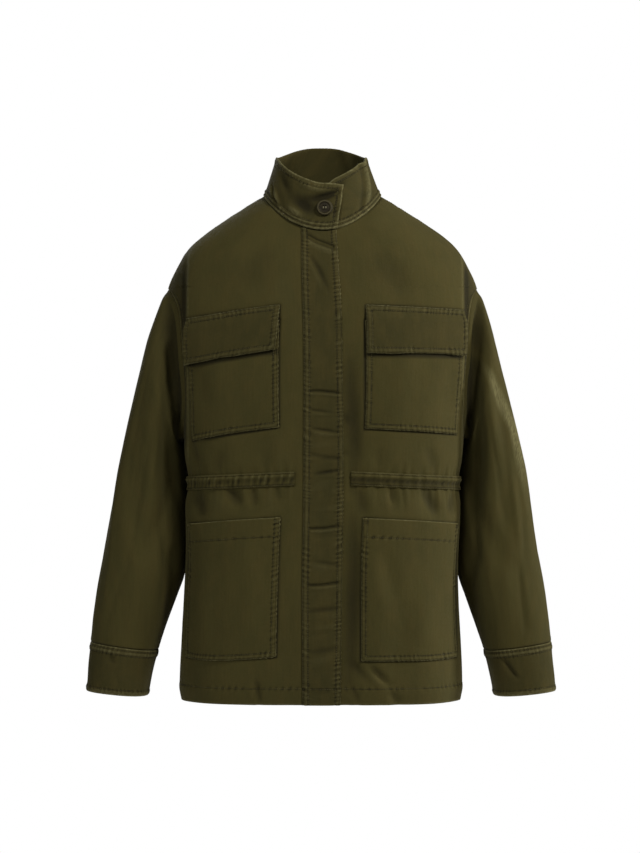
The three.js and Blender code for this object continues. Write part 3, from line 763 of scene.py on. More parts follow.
class Cloth:
    """A sewn piece as a grid of outer points, with its relief and its inner face."""

    def __init__(self, name: str, outer: Array, inner: Array, ring: bool = False) -> None:
        """Keeps the grids and measures along them.

        Args:
            name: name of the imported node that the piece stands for.
            outer: outer points by row and column.
            inner: inner points in the same rows and columns.
            ring: whether the last column joins the first.
        """
        self.name = name
        self.outer = outer
        self.inner = inner
        self.ring = ring
        steps = np.linalg.norm(np.diff(outer, axis=1), axis=-1)
        rises = np.linalg.norm(np.diff(outer, axis=0), axis=-1)
        self.across = np.concatenate([np.zeros((len(outer), 1)), np.cumsum(steps, axis=1)], axis=1)
        self.up = np.concatenate([np.zeros((1, outer.shape[1])), np.cumsum(rises, axis=0)], axis=0)
        self.relief = plain(outer.shape[:2])
        self.thread = Thread(name + "_stitching")
        closed = np.concatenate([outer, outer[:, :1]], axis=1) if ring else outer
        over, rise = np.diff(closed, axis=1)[:-1], np.diff(closed, axis=0)[:, :-1]
        area = float(np.linalg.norm(np.cross(over, rise), axis=-1).sum())
        around = np.linalg.norm(np.diff(closed, axis=1), axis=-1).sum(axis=1)
        self.flat = (float(around.max()), float(self.up[-1].max()))
        self.area = min(area, self.flat[0] * self.flat[1])

    def normals(self) -> Array:
        """Outward direction at every grid point, from its neighbours.

        Returns:
            Directions of length 1 by row and column.
        """
        if self.ring:
            across = np.roll(self.outer, -1, axis=1) - np.roll(self.outer, 1, axis=1)
        else:
            across = np.gradient(self.outer, axis=1)
        normal = unit(np.cross(across, np.gradient(self.outer, axis=0)))
        middle = np.sum(normal * (self.outer - self.inner))
        return normal if middle > 0 else -normal

    def from_edge(self, edge: Edge) -> Array:
        """Distance of every grid point from one edge.

        Args:
            edge: the edge.

        Returns:
            Distances along the cloth by row and column.
        """
        if edge is Edge.START:
            return self.across
        if edge is Edge.END:
            return self.across[:, -1:] - self.across
        return self.up if edge is Edge.LOW else self.up[-1:, :] - self.up

    def along_edge(self, edge: Edge) -> Array:
        """Place of every grid point along one edge."""
        return self.up if edge in (Edge.START, Edge.END) else self.across

    def sew(self, seam: Seam, edges: tuple[Edge, ...], seed: int, where: Array | float = 1.0) -> None:
        """Adds a seam's relief along the nearest of some edges.

        Args:
            seam: the seam and its puckers.
            edges: edges that it follows.
            seed: picks its puckers.
            where: share of it that each point takes.
        """
        far = np.stack([self.from_edge(e) for e in edges])
        nearest = np.argmin(far, axis=0)[None]
        place = np.stack([self.along_edge(e) + 400 * k for k, e in enumerate(edges)])
        distance = np.take_along_axis(far, nearest, 0)[0]
        self.relief.add(seam.relief(distance, np.take_along_axis(place, nearest, 0)[0], seed), where)

    def raise_relief(self) -> None:
        """Moves the outer points out by the relief."""
        self.outer = self.outer + self.normals() * self.relief.height[..., None]

    def stitch(self, edge: Edge, inset: float, trim: tuple[float, float] = (0.0, 0.0)) -> None:
        """Sews a row of thread at a distance from an edge.

        Args:
            edge: the edge that the row follows.
            inset: distance from it.
            trim: length left bare at the row's two ends.
        """
        normals = self.normals()
        if edge in (Edge.START, Edge.END):
            far, points, lines = self.from_edge(edge), self.outer, normals
        else:
            far, points, lines = self.from_edge(edge).T, self.outer.swapaxes(0, 1), normals.swapaxes(0, 1)
        if edge in (Edge.END, Edge.HIGH):
            far, points, lines = far[:, ::-1], points[:, ::-1], lines[:, ::-1]
        index = np.stack([np.interp(inset, row, np.arange(len(row))) for row in far])
        low = np.minimum(index.astype(int), far.shape[1] - 2)
        share = (index - low)[:, None]
        row = np.arange(len(far))
        path = points[row, low] * (1 - share) + points[row, low + 1] * share
        facing = lines[row, low] * (1 - share) + lines[row, low + 1] * share
        if self.ring and edge in (Edge.LOW, Edge.HIGH):
            path, facing = np.vstack([path, path[:1]]), np.vstack([facing, facing[:1]])
        self.thread.sew(path, unit(facing), trim)

    def build(self, finish: "Finish") -> bpy.types.Object:
        """Makes the shell's object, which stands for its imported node.

        Args:
            finish: finish of the cloth.

        Returns:
            The new object.
        """
        self.across, self.up = self.across - self.across.min(), self.up - self.up.min()
        obj = shell(self)
        obj.data.materials.append(finish.material())
        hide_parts(self.name)
        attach(obj, "root")
        LOG.info("%s: %d faces", obj.name, len(obj.data.polygons))
        return obj


def shell(cloth: Cloth) -> bpy.types.Object:
    """Closed thin mesh of a cloth piece, with a coarser inner face.

    Args:
        cloth: the piece, with an odd number of rows, and columns too unless it is a ring.

    Returns:
        The new object, in metres.
    """
    outer, inner = cloth.outer, cloth.inner[::2, ::2]
    rows, cols = outer.shape[:2]
    low_rows, low_cols = inner.shape[:2]
    base = rows * cols

    def fine(i: Array | int, j: Array | int) -> Array:
        """Numbers of the outer points at rows i and columns j."""
        return i * cols + j % cols

    def coarse(i: Array | int, j: Array | int) -> Array:
        """Numbers of the inner points at rows i and columns j."""
        return base + i * low_cols + j % low_cols

    def patch(at: Callable, height: int, width: int, turned: bool) -> Array:
        """Squares between the points of one face.

        Args:
            at: numbers of its points.
            height: squares from row to row.
            width: squares from column to column.
            turned: whether they face inwards.

        Returns:
            Four point numbers for each square.
        """
        i, j = [g.ravel() for g in np.mgrid[0:height, 0:width]]
        corners = [at(i, j), at(i, j + 1), at(i + 1, j + 1), at(i + 1, j)]
        return np.stack(corners[::-1] if turned else corners, axis=1)

    wide, low_wide = (cols, low_cols) if cloth.ring else (cols - 1, low_cols - 1)
    quads = np.concatenate([patch(fine, rows - 1, wide, False), patch(coarse, low_rows - 1, low_wide, True)])
    j, i = np.arange(low_wide), np.arange(low_rows - 1)
    rims = [
        [fine(0, 2 * j + 2), fine(0, 2 * j + 1), fine(0, 2 * j), coarse(0, j), coarse(0, j + 1)],
        [fine(rows - 1, 2 * j + k) for k in range(3)] + [coarse(low_rows - 1, j + 1), coarse(low_rows - 1, j)],
    ]
    if not cloth.ring:
        rims.append([fine(2 * i + k, 0) for k in range(3)] + [coarse(i + 1, 0), coarse(i, 0)])
        end = [fine(2 * i + k, cols - 1) for k in (2, 1, 0)]
        rims.append(end + [coarse(i, low_cols - 1), coarse(i + 1, low_cols - 1)])
    edges = np.concatenate([np.stack(r, axis=1) for r in rims])
    points = np.concatenate([outer.reshape(-1, 3), inner.reshape(-1, 3)])
    a, b, c = (points[quads[:, k]] for k in (0, 1, 2))
    if np.sum(a * np.cross(b, c)) < 0:
        quads, edges = quads[:, ::-1], edges[:, ::-1]
    mesh = bpy.data.meshes.new(cloth.name + "_cloth")
    mesh.from_pydata((points * MM).tolist(), [], quads.tolist() + edges.tolist())
    wide_of = cloth.across[:, -1].max() + np.linalg.norm(outer[0, 0] - outer[0, -1])
    weave = np.stack([cloth.across, cloth.up], axis=-1)
    weave = np.concatenate([weave.reshape(-1, 2), weave[::2, ::2].reshape(-1, 2)])
    spots = []
    for faces in (quads, edges):
        spot = weave[faces]
        if cloth.ring:
            wraps = np.ptp(spot[..., 0], axis=1, keepdims=True) > wide_of / 2
            spot[..., 0] += np.where(wraps & (spot[..., 0] < wide_of / 2), wide_of, 0.0)
        spots.append(spot.reshape(-1, 2))
    layer = mesh.uv_layers.new(name="Weave")
    layer.data.foreach_set("uv", (np.concatenate(spots) * MM).astype(np.float32).ravel())
    # The inner face is painted slightly darker, as shade inside the garment.
    wear = np.concatenate([cloth.relief.wear.ravel(), np.full(low_rows * low_cols, -0.1)])
    mesh.attributes.new("wear", "FLOAT", "POINT").data.foreach_set("value", wear.astype(np.float32))
    mesh.polygons.foreach_set("use_smooth", np.ones(len(mesh.polygons), bool))
    mesh.update()
    obj = bpy.data.objects.new(cloth.name + "_cloth", mesh)
    bpy.context.scene.collection.objects.link(obj)
    return obj


class Thread:
    """Rows of topstitching on one piece, gathered into one mesh."""

    pitch = 3.4
    length = 2.7
    radius = 0.42
    sides = 5

    def __init__(self, name: str) -> None:
        """Starts an empty run named after its piece.

        Args:
            name: name of the thread's object.
        """
        self.name = name
        self.points: list[Array] = []
        self.count = 0

    def sew(self, path: Array, facing: Array, trim: tuple[float, float]) -> None:
        """Lays stitches end to end along a path on the cloth.

        Args:
            path: points of the row.
            facing: outward direction at each.
            trim: length left bare at the two ends.
        """
        run = np.concatenate([[0.0], np.cumsum(np.linalg.norm(np.diff(path, axis=0), axis=1))])
        middles = np.arange(trim[0] + self.pitch / 2, run[-1] - trim[1] - self.pitch / 2, self.pitch)
        if len(middles) == 0:
            return

        def at(places: Array, values: Array) -> Array:
            """Values at places along the row."""
            return np.stack([np.interp(places, run, values[:, k]) for k in range(3)], axis=1)

        centre, out = at(middles, path), unit(at(middles, facing))
        ahead = unit(at(middles + self.length / 2, path) - at(middles - self.length / 2, path))
        aside = unit(np.cross(ahead, out))
        turn = 2 * np.pi * np.arange(self.sides) / self.sides
        ends = (-self.length / 2, -self.length * 0.33, self.length * 0.33, self.length / 2)
        thick = (0.25, 1.0, 1.0, 0.25)
        rings = []
        for end, grow in zip(ends, thick):
            round_ = aside[:, None] * np.cos(turn)[None, :, None] + out[:, None] * np.sin(turn)[None, :, None]
            lift = out * (0.16 if grow == 1.0 else -0.22)
            rings.append((centre + ahead * end + lift)[:, None] + round_ * self.radius * grow)
        self.points.append(np.concatenate(rings, axis=1))
        self.count += len(middles)

    def build(self, finish: "Finish") -> bpy.types.Object | None:
        """Makes the thread's object, or nothing where no row was sewn.

        Args:
            finish: finish of the thread.

        Returns:
            The new object, or None.
        """
        if not self.points:
            return None
        points = np.concatenate(self.points)
        n, s = points.shape[1], self.sides
        k = np.arange(s)
        faces = []
        for ring in range(3):
            a, b = ring * s + k, ring * s + (k + 1) % s
            faces.append(np.stack([a, b, b + s, a + s], axis=1))
        one = np.concatenate(faces)
        quads = (one[None] + n * np.arange(len(points))[:, None, None]).reshape(-1, 4)
        mesh = bpy.data.meshes.new(self.name)
        mesh.from_pydata((points.reshape(-1, 3) * MM).tolist(), [], quads.tolist())
        mesh.polygons.foreach_set("use_smooth", np.ones(len(mesh.polygons), bool))
        mesh.materials.append(finish.material())
        obj = bpy.data.objects.new(self.name, mesh)
        bpy.context.scene.collection.objects.link(obj)
        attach(obj, "root")
        LOG.info("%s: %d stitches", obj.name, self.count)
        return obj


class Nodes:
    """A material's nodes, made and joined by short calls."""

    def __init__(self, name: str) -> None:
        """Starts a material with one surface shader.

        Args:
            name: name of the material.
        """
        self.material = bpy.data.materials.new(name)
        self.material.use_nodes = True
        self.tree = self.material.node_tree
        self.shader = self.tree.nodes["Principled BSDF"]

    def add(self, kind: str, inputs: dict[str, object] | None = None, **settings: object) -> bpy.types.Node:
        """A new node.

        Args:
            kind: its type.
            inputs: numbers, or sockets to join, by input name.
            settings: its properties.

        Returns:
            The node.
        """
        node = self.tree.nodes.new(kind)
        for key, value in settings.items():
            setattr(node, key, value)
        for key, value in (inputs or {}).items():
            self.feed(node, key, value)
        return node

    def feed(self, node: bpy.types.Node, key: str | int, value: object) -> None:
        """Joins a socket to an input, or sets the input's number.

        Args:
            node: the node.
            key: name or number of its input.
            value: a socket, or a plain value.
        """
        if isinstance(value, bpy.types.NodeSocket):
            self.tree.links.new(value, node.inputs[key])
        else:
            node.inputs[key].default_value = value

    def math(self, operation: str, a: object, b: object = 0.0) -> bpy.types.NodeSocket:
        """Result of a sum on two numbers or sockets.

        Args:
            operation: the sum.
            a: first number or socket.
            b: second number or socket.

        Returns:
            The result's socket.
        """
        node = self.add("ShaderNodeMath", operation=operation)
        self.feed(node, 0, a)
        self.feed(node, 1, b)
        return node.outputs[0]

    def remap(self, value: object, low: float, high: float, to_low: float, to_high: float) -> bpy.types.NodeSocket:
        """A socket's range carried to another, held at its ends."""
        inputs = {"Value": value, "From Min": low, "From Max": high, "To Min": to_low, "To Max": to_high}
        return self.add("ShaderNodeMapRange", inputs).outputs["Result"]

    def noise(
        self, place: object, scale: float, detail: float, stretch: tuple[float, float, float] = (1, 1, 1)
    ) -> bpy.types.NodeSocket:
        """Noise of a scale, stretched along the cloth."""
        mapped = self.add("ShaderNodeMapping", {"Vector": place, "Scale": stretch}).outputs["Vector"]
        return self.add("ShaderNodeTexNoise", {"Vector": mapped, "Scale": scale, "Detail": detail}).outputs["Fac"]

    def mix(self, share: object, first: object, second: object, way: str = "MIX") -> bpy.types.NodeSocket:
        """Two colours mixed by a share.

        Args:
            share: share of the second colour.
            first: first colour.
            second: second colour.
            way: how the second goes over the first.

        Returns:
            The mixed colour's socket.
        """
        node = self.add("ShaderNodeMix", data_type="RGBA", blend_type=way)
        for key, value in ((0, share), (6, first), (7, second)):
            self.feed(node, key, value)
        return node.outputs[2]

    def bump(
        self, height: object, distance: float, strength: float, below: object | None = None
    ) -> bpy.types.NodeSocket:
        """Small relief, on top of another where there is one.

        Args:
            height: height of the relief.
            distance: its depth in metres.
            strength: its share from 0 to 1.
            below: relief that it lies on.

        Returns:
            The relief's socket.
        """
        inputs: dict[str, object] = {"Height": height, "Distance": distance, "Strength": strength}
        if below is not None:
            inputs["Normal"] = below
        return self.add("ShaderNodeBump", inputs).outputs["Normal"]


Colour = tuple[float, float, float, float]


@dataclass(frozen=True)
class Finish:
    """A finish that makes its own material once."""

    name: str

    def material(self) -> bpy.types.Material:
        """The finish's material."""
        return bpy.data.materials.get(self.name) or self.mixed()

    def mixed(self) -> bpy.types.Material:
        """Makes the material.

        Returns:
            The material.
        """
        raise NotImplementedError


@dataclass(frozen=True)
class WashedTwill(Finish):
    """Garment-washed cotton twill: diagonal weave, slubs, wash mottling, pale worn edges with painted highlights, and
    painted shade in grooves, creases and recesses.
    """

    cloth: Colour = (0.053, 0.044, 0.0118, 1)
    deep: Colour = (0.0445, 0.038, 0.0102, 1)
    warm: Colour = (0.057, 0.044, 0.0118, 1)
    # Pale colour for worn edges and for painted highlights.
    worn_and_lit: Colour = (0.15, 0.135, 0.06, 1)
    # Near-black colour for painted shade in grooves, creases, recesses and under flaps.
    shaded_groove: Colour = (0.011, 0.009, 0.003, 1)
    weave: float = 0.0009
    sheen: float = 0.05

    def mixed(self) -> bpy.types.Material:
        """Makes the material.

        Returns:
            The material.
        """
        n = Nodes(self.name)
        place = n.add("ShaderNodeUVMap", uv_map="Weave").outputs["UV"]
        turned = n.add("ShaderNodeMapping", {"Vector": place, "Rotation": (0, 0, math.radians(62))})
        diagonals = {"Vector": turned.outputs["Vector"], "Scale": 0.314 / self.weave, "Distortion": 0.6, "Detail": 1.0}
        twill = n.add("ShaderNodeTexWave", diagonals).outputs["Fac"]
        fuzz = n.noise(place, 1500, 2)
        slub = n.noise(place, 420, 2, (1, 0.07, 1))
        wash = n.noise(place, 14, 4, (1, 0.55, 1))
        cloud = n.noise(place, 48, 3, (1, 0.5, 1))
        grain = n.noise(place, 260, 3)
        colour = n.mix(n.remap(wash, 0.36, 0.64, 0, 1), self.deep, self.cloth)
        colour = n.mix(n.remap(cloud, 0.42, 0.7, 0, 0.55), colour, self.warm)
        lines = n.math("ADD", n.math("MULTIPLY", twill, 0.2), n.math("MULTIPLY", slub, 0.3))
        shade = n.remap(n.math("ADD", lines, n.math("MULTIPLY", fuzz, 0.3)), 0.2, 0.6, 0.84, 1.16)
        tone = n.add("ShaderNodeCombineColor", {"Red": shade, "Green": shade, "Blue": shade}).outputs["Color"]
        colour = n.mix(1.0, colour, tone, "MULTIPLY")
        wear = n.add("ShaderNodeAttribute", attribute_name="wear").outputs["Fac"]
        speckle = n.remap(grain, 0.35, 0.62, 0.35, 1.15)
        # Mixes toward pale for worn edges and painted highlights, then toward near-black for painted shade.
        pale = n.math("MULTIPLY", n.remap(wear, 0.05, 1.3, 0, 0.75), speckle)
        colour = n.mix(pale, colour, self.worn_and_lit)
        colour = n.mix(n.remap(wear, -0.05, -0.9, 0, 0.85), colour, self.shaded_groove)
        n.feed(n.shader, "Base Color", colour)
        n.feed(n.shader, "Roughness", n.remap(grain, 0.3, 0.7, 0.8, 0.95))
        n.feed(n.shader, "Sheen Weight", self.sheen)
        n.feed(n.shader, "Sheen Roughness", 0.45)
        n.feed(n.shader, "Sheen Tint", (0.7, 0.66, 0.36, 1))
        n.feed(n.shader, "Specular IOR Level", 0.12)
        low = n.bump(cloud, 0.0012, 0.35)
        crumple = n.bump(grain, 0.0005, 0.35, low)
        woven = n.bump(n.math("ADD", twill, fuzz), 0.00014, 0.5, crumple)
        n.feed(n.shader, "Normal", woven)
        return n.material


@dataclass(frozen=True)
class CottonThread(Finish):
    """Tonal sewing thread, twisted and rubbed pale on top."""

    dark: Colour = (0.026, 0.021, 0.007, 1)
    pale: Colour = (0.105, 0.092, 0.036, 1)

    def mixed(self) -> bpy.types.Material:
        """Makes the material.

        Returns:
            The material.
        """
        n = Nodes(self.name)
        place = n.add("ShaderNodeTexCoord").outputs["Object"]
        patches = n.noise(place, 90, 3)
        twist = n.noise(place, 1400, 1)
        share = n.math("MULTIPLY", n.remap(patches, 0.36, 0.66, 0.1, 0.9), n.remap(twist, 0.3, 0.7, 0.5, 1.2))
        n.feed(n.shader, "Base Color", n.mix(share, self.dark, self.pale))
        n.feed(n.shader, "Roughness", n.remap(twist, 0.3, 0.7, 0.7, 0.9))
        n.feed(n.shader, "Specular IOR Level", 0.15)
        n.feed(n.shader, "Normal", n.bump(twist, 0.0001, 0.6))
        return n.material


@dataclass(frozen=True)
class DyedHorn(Finish):
    """Button stock dyed with the cloth: brown-green, clouded, softly polished."""

    dark: Colour = (0.013, 0.0095, 0.0035, 1)
    pale: Colour = (0.026, 0.0205, 0.0078, 1)

    def mixed(self) -> bpy.types.Material:
        """Makes the material.

        Returns:
            The material.
        """
        n = Nodes(self.name)
        place = n.add("ShaderNodeTexCoord").outputs["Object"]
        cloud = n.noise(place, 130, 4, (1, 1, 2.4))
        scratch = n.noise(place, 900, 2, (1, 1, 0.12))
        wear = n.add("ShaderNodeAttribute", attribute_name="wear").outputs["Fac"]
        colour = n.mix(n.remap(cloud, 0.35, 0.65, 0, 1), self.dark, self.pale)
        # Mixes toward pale on the raised rim: partly rubbed, partly a painted highlight.
        n.feed(n.shader, "Base Color", n.mix(n.remap(wear, 0, 1, 0, 0.6), colour, (0.1, 0.085, 0.036, 1)))
        n.feed(n.shader, "Roughness", n.remap(scratch, 0.3, 0.7, 0.38, 0.55))
        n.feed(n.shader, "Specular IOR Level", 0.14)
        n.feed(n.shader, "Normal", n.bump(scratch, 0.0001, 0.3))
        return n.material


TWILL = WashedTwill("washed_twill")
DOUBLED = WashedTwill("doubled_twill", cloth=(0.044, 0.036, 0.0098, 1), deep=(0.036, 0.031, 0.0085, 1))
THREAD = CottonThread("tonal_thread")
BUTTON_THREAD = CottonThread("button_thread", dark=(0.12, 0.105, 0.06, 1), pale=(0.3, 0.27, 0.17, 1))
HORN = DyedHorn("dyed_horn")


def declare(cloth: Cloth, finish: Finish) -> None:
    """Builds a piece and its thread and states the cut of what shows.

    Args:
        cloth: the piece.
        finish: its material.
    """
    obj = cloth.build(finish)
    thread = cloth.thread.build(THREAD)
    flat = tuple(round(side * MM, 3) for side in cloth.flat)
    area = round(min(cloth.area * MM * MM, flat[0] * flat[1]), 5)
    LOG.info("%s: cut %.3f by %.3f m, %.4f m2", obj.name, flat[0], flat[1], area)


@dataclass
class Panels:
    """The two fronts and the back, from hem to neck seam."""

    form: BodyForm
    outlines: tuple[tuple[tuple[float, float], ...], ...] = ()
    wall: float = 1.7
    hem_depth: float = 23.0
    front_edge: float = -25.0
    row_pitch: float = 2.9
    column_pitch: float = 2.7

    def grid(
        self, name: str, length: float, start: Callable, stop: Callable, bands: tuple[bool, bool]
    ) -> tuple[Cloth, Array, Array]:
        """Grid of one panel between two edges.

        Args:
            name: node that the panel stands for.
            length: length round the body that it covers.
            start: angle of its first edge at each level.
            stop: angle of its last edge at each level.
            bands: which of the two edges has finer columns.

        Returns:
            The piece, and its angles and levels by row and column.
        """
        levels = self.form.levels(self.row_pitch)
        shares = spaced(length, self.column_pitch, 9, 1.4, bands)
        angle = between(start(levels)[:, None], stop(levels)[:, None], shares[None, :])
        level = np.broadcast_to(levels[:, None], angle.shape)
        outer = tuck(self.form.lay(angle, level, 0.0))
        inner = tuck(self.form.lay(angle, level, -self.wall))
        return Cloth(name, outer, inner), angle, level

    def dress(self, cloth: Cloth, angle: Array, level: Array, sides: tuple[Edge, ...], seed: int) -> None:
        """Sews the hem, side seams, armholes and shoulder seams of one panel.

        Args:
            cloth: the panel.
            angle: its angles.
            level: its levels.
            sides: its edges at side seam, armhole and shoulder.
            seed: picks its puckers.
        """
        # Painted shade in the troughs of the creases and painted highlight on their ridges.
        cloth.relief.wear += 0.115 * self.form.drape(angle, level, self.form.place(angle, level))
        if sides == (Edge.END,):
            level_edge = smooth(-60, -80, level) * smooth(-385, -350, level)
            x = cloth.outer[..., 0]
            # A pale line along each front panel's edge by the armhole: painted highlight on the raised edge.
            line = np.where(x < 0, bump(x, -188.6, 1.3), bump(x, 200.8, 1.3))
            shade = 0.45 + 0.9 * bump(np.abs(cloth.outer[..., 0] - 6), 199, 5)
            # Painted shade over the set-back strip beside each armhole, deepest about 199 mm out from the middle.
            cloth.relief.wear += 0.6 * line * level_edge - strip(cloth.outer) * shade
            for outline in self.outlines:
                # A dent round each pocket and flap outline, painted dark as their contact shadow on the panel.
                dent = Crease(outline, 2.0, -0.35, 0.0, even=True)
                height = dent.height(cloth.outer[..., 0], cloth.outer[..., 2], cloth.outer[..., 1])
                cloth.relief.add(Relief(height, 1.5 * height))
        hem = Seam(lines=(self.hem_depth,), pitch=10, swell=0.5, pucker=0.55, reach=12, edge=0.7, dark=0.5)
        cloth.sew(hem, (Edge.LOW,), seed)
        armhole = smooth(-350, -330, level) * smooth(-118, -124, level)
        rope = Seam(lines=(6.4,), pitch=8, swell=0.5, pucker=0.3, reach=8, edge=1.1)
        flat = Seam(lines=(1.6, 7.6), pitch=8, swell=0.25, pucker=0.3, reach=8, edge=0.5)
        cloth.sew(rope, sides, seed + 1, armhole)
        cloth.sew(flat, sides, seed + 2, 1 - armhole)
        for side in sides:
            cloth.relief.height -= 0.9 * bump(cloth.from_edge(side), 0.0, 0.8)
        cloth.raise_relief()
        for side in sides:
            cloth.stitch(side, 7.6, (2, 4))
        cloth.stitch(Edge.LOW, self.hem_depth, (0.5, 0.5))

    def build(self) -> None:
        """Builds the three panels."""
        form, half_gap = self.form, self.form.seam / 2
        right, angle, level = self.grid(
            "front_right",
            300,
            lambda z: form.angle_at_x(self.front_edge - half_gap, z),
            lambda z: -form.side_edge(z, False),
            (False, True),
        )
        self.dress(right, angle, level, (Edge.END,), 31)
        declare(right, TWILL)
        left, angle, level = self.grid(
            "front_left",
            330,
            lambda z: form.angle_at_x(self.front_edge + half_gap, z),
            lambda z: form.side_edge(z, False),
            (False, True),
        )
        self.dress(left, angle, level, (Edge.END,), 41)
        declare(left, TWILL)
        back, angle, level = self.grid(
            "back", 600, lambda z: form.side_edge(z, True), lambda z: 360 - form.side_edge(z, True), (True, True)
        )
        self.dress(back, angle, level, (Edge.START, Edge.END), 51)
        declare(back, TWILL)


@dataclass
class FlyStrip:
    """The strip over the front opening, free along the wearer's left edge."""

    form: BodyForm
    lift: float = 0.5
    wall: float = 2.3
    top: float = 8.5
    wide: float = 52.0

    def build(self) -> None:
        """Builds and dresses the strip."""
        levels = np.linspace(self.form.hem, self.top, 431)
        left = self.form.angle_at_x(FLY_EDGES.read("left", levels), levels)
        right = self.form.angle_at_x(FLY_EDGES.read("right", levels), levels)
        shares = spaced(self.wide, 1.5, 9, 1.1)
        angle = left[:, None] + (right - left)[:, None] * shares[None, :]
        level = np.broadcast_to(levels[:, None], angle.shape)
        far = self.wide * shares[None, :]
        rounding = 1 - np.sqrt(1 - np.clip(1 - (self.wide - far) / 1.6, 0, 1) ** 2)
        drop = smooth(7.0, 0.0, far) * 1.9 + self.wall * 0.8 * rounding
        height = np.broadcast_to(self.lift + self.wall - drop, angle.shape)
        outer = self.form.lay(angle, level, height)
        inner = self.form.lay(angle, level, self.lift * 0.6)
        cloth = Cloth("placket", outer, inner)
        free_part = smooth(5, 13, cloth.from_edge(Edge.START)) * smooth(2, 9, cloth.from_edge(Edge.END))
        across = waver(outer[..., 0] / 26, outer[..., 2] / 7.5 - outer[..., 0] / 60, 0.5, 64)
        share = free_part * (0.25 + 0.75 * smooth(-230, -290, outer[..., 2]))
        place = 0.7 * across * share
        for crease in FLY_CREASES:
            place = place + 1.35 * free_part * crease.height(outer[..., 0], outer[..., 2], outer[..., 1])
        # Painted shade in the strip's creases and painted light on its ripples.
        cloth.relief.add(Relief(place, 0.3 * place))
        sewn = Seam(lines=(1.3, 8.6), pitch=6.6, swell=0.4, pucker=0.4, reach=6, edge=0.05)
        free = Seam(lines=(1.6, 8.0), pitch=6.2, swell=0.4, pucker=0.9, reach=10, edge=0.7)
        cloth.sew(sewn, (Edge.START,), 61)
        cloth.sew(free, (Edge.END,), 62)
        ridge = bump(cloth.from_edge(Edge.START), 4.9, 1.9)
        # The ridge beside the sewn edge is painted paler, as a highlight.
        cloth.relief.add(Relief(0.7 * ridge, 0.12 * ridge))
        cloth.sew(Seam(lines=(23.0,), pitch=11, swell=0.2, pucker=0.2, edge=0.6), (Edge.LOW,), 63)
        cloth.raise_relief()
        for inset in (1.3, 8.6):
            cloth.stitch(Edge.START, inset, (1, 4))
        cloth.stitch(Edge.END, 8.0, (2, 5))
        cloth.stitch(Edge.LOW, 23.0, (1, 1))
        declare(cloth, DOUBLED)


@dataclass
class LaidPiece:
    """A pocket or flap between four corners on a front, given as x and level before the lean."""

    form: BodyForm
    node: str
    in_top: tuple[float, float]
    out_top: tuple[float, float]
    in_low: tuple[float, float]
    out_low: tuple[float, float]
    seed: int
    wall: float = 1.9
    lift: float = 0.45
    top_lift: float = 0.45
    swell: float = 1.3
    dip: float = 0.0
    finish: Finish = TWILL

    def grid(self, pitch: float) -> tuple[Cloth, Array, Array]:
        """Grid of the piece, rows from its foot to its top and columns from the opening outwards.

        Args:
            pitch: step between points away from the edges.

        Returns:
            The piece, and its shares across and down by row and column.
        """
        wide = abs(self.out_top[0] - self.in_top[0]) * 1.04
        tall = abs(self.in_low[1] - self.in_top[1])
        u, down = np.meshgrid(spaced(wide, pitch, 9, 1.2), spaced(tall, pitch, 9, 1.2)[::-1])
        places = (self.in_top, self.out_top, self.in_low, self.out_low)
        corners = [self.form.angle_at_x(np.array(x), np.array(z)) for x, z in places]
        top, low = between(corners[0], corners[1], u), between(corners[2], corners[3], u)
        angle = top + (low - top) * down
        top_level = self.in_top[1] + (self.out_top[1] - self.in_top[1]) * u
        low_level = self.in_low[1] + (self.out_low[1] - self.in_low[1]) * u - self.dip * 4 * u * (1 - u)
        level = top_level + (low_level - top_level) * down
        lift = self.top_lift + (self.lift - self.top_lift) * smooth(0.02, 0.3, down)
        lift = lift + self.swell * 16 * u * (1 - u) * down * (1 - down)
        far = np.minimum(np.minimum(u, 1 - u) * wide, np.minimum(down, 1 - down) * tall)
        drop = self.wall * 0.85 * (1 - np.sqrt(1 - np.clip(1 - far / 1.5, 0, 1) ** 2))
        outer = self.form.lay(angle, level, lift + self.wall - drop)
        inner = self.form.lay(angle, level, lift)
        return Cloth(self.node, outer, inner), u, down

    def outline(self) -> tuple[tuple[float, float], ...]:
        """The piece's four corners as the front is seen square on, the first repeated at the end.

        Returns:
            Their x and z.
        """
        corners = (self.in_top, self.out_top, self.out_low, self.in_low, self.in_top)
        points = [self.form.place(self.form.angle_at_x(np.array(x), np.array(z)), np.array(z)) for x, z in corners]
        return tuple((float(p[0]), float(p[2])) for p in points)


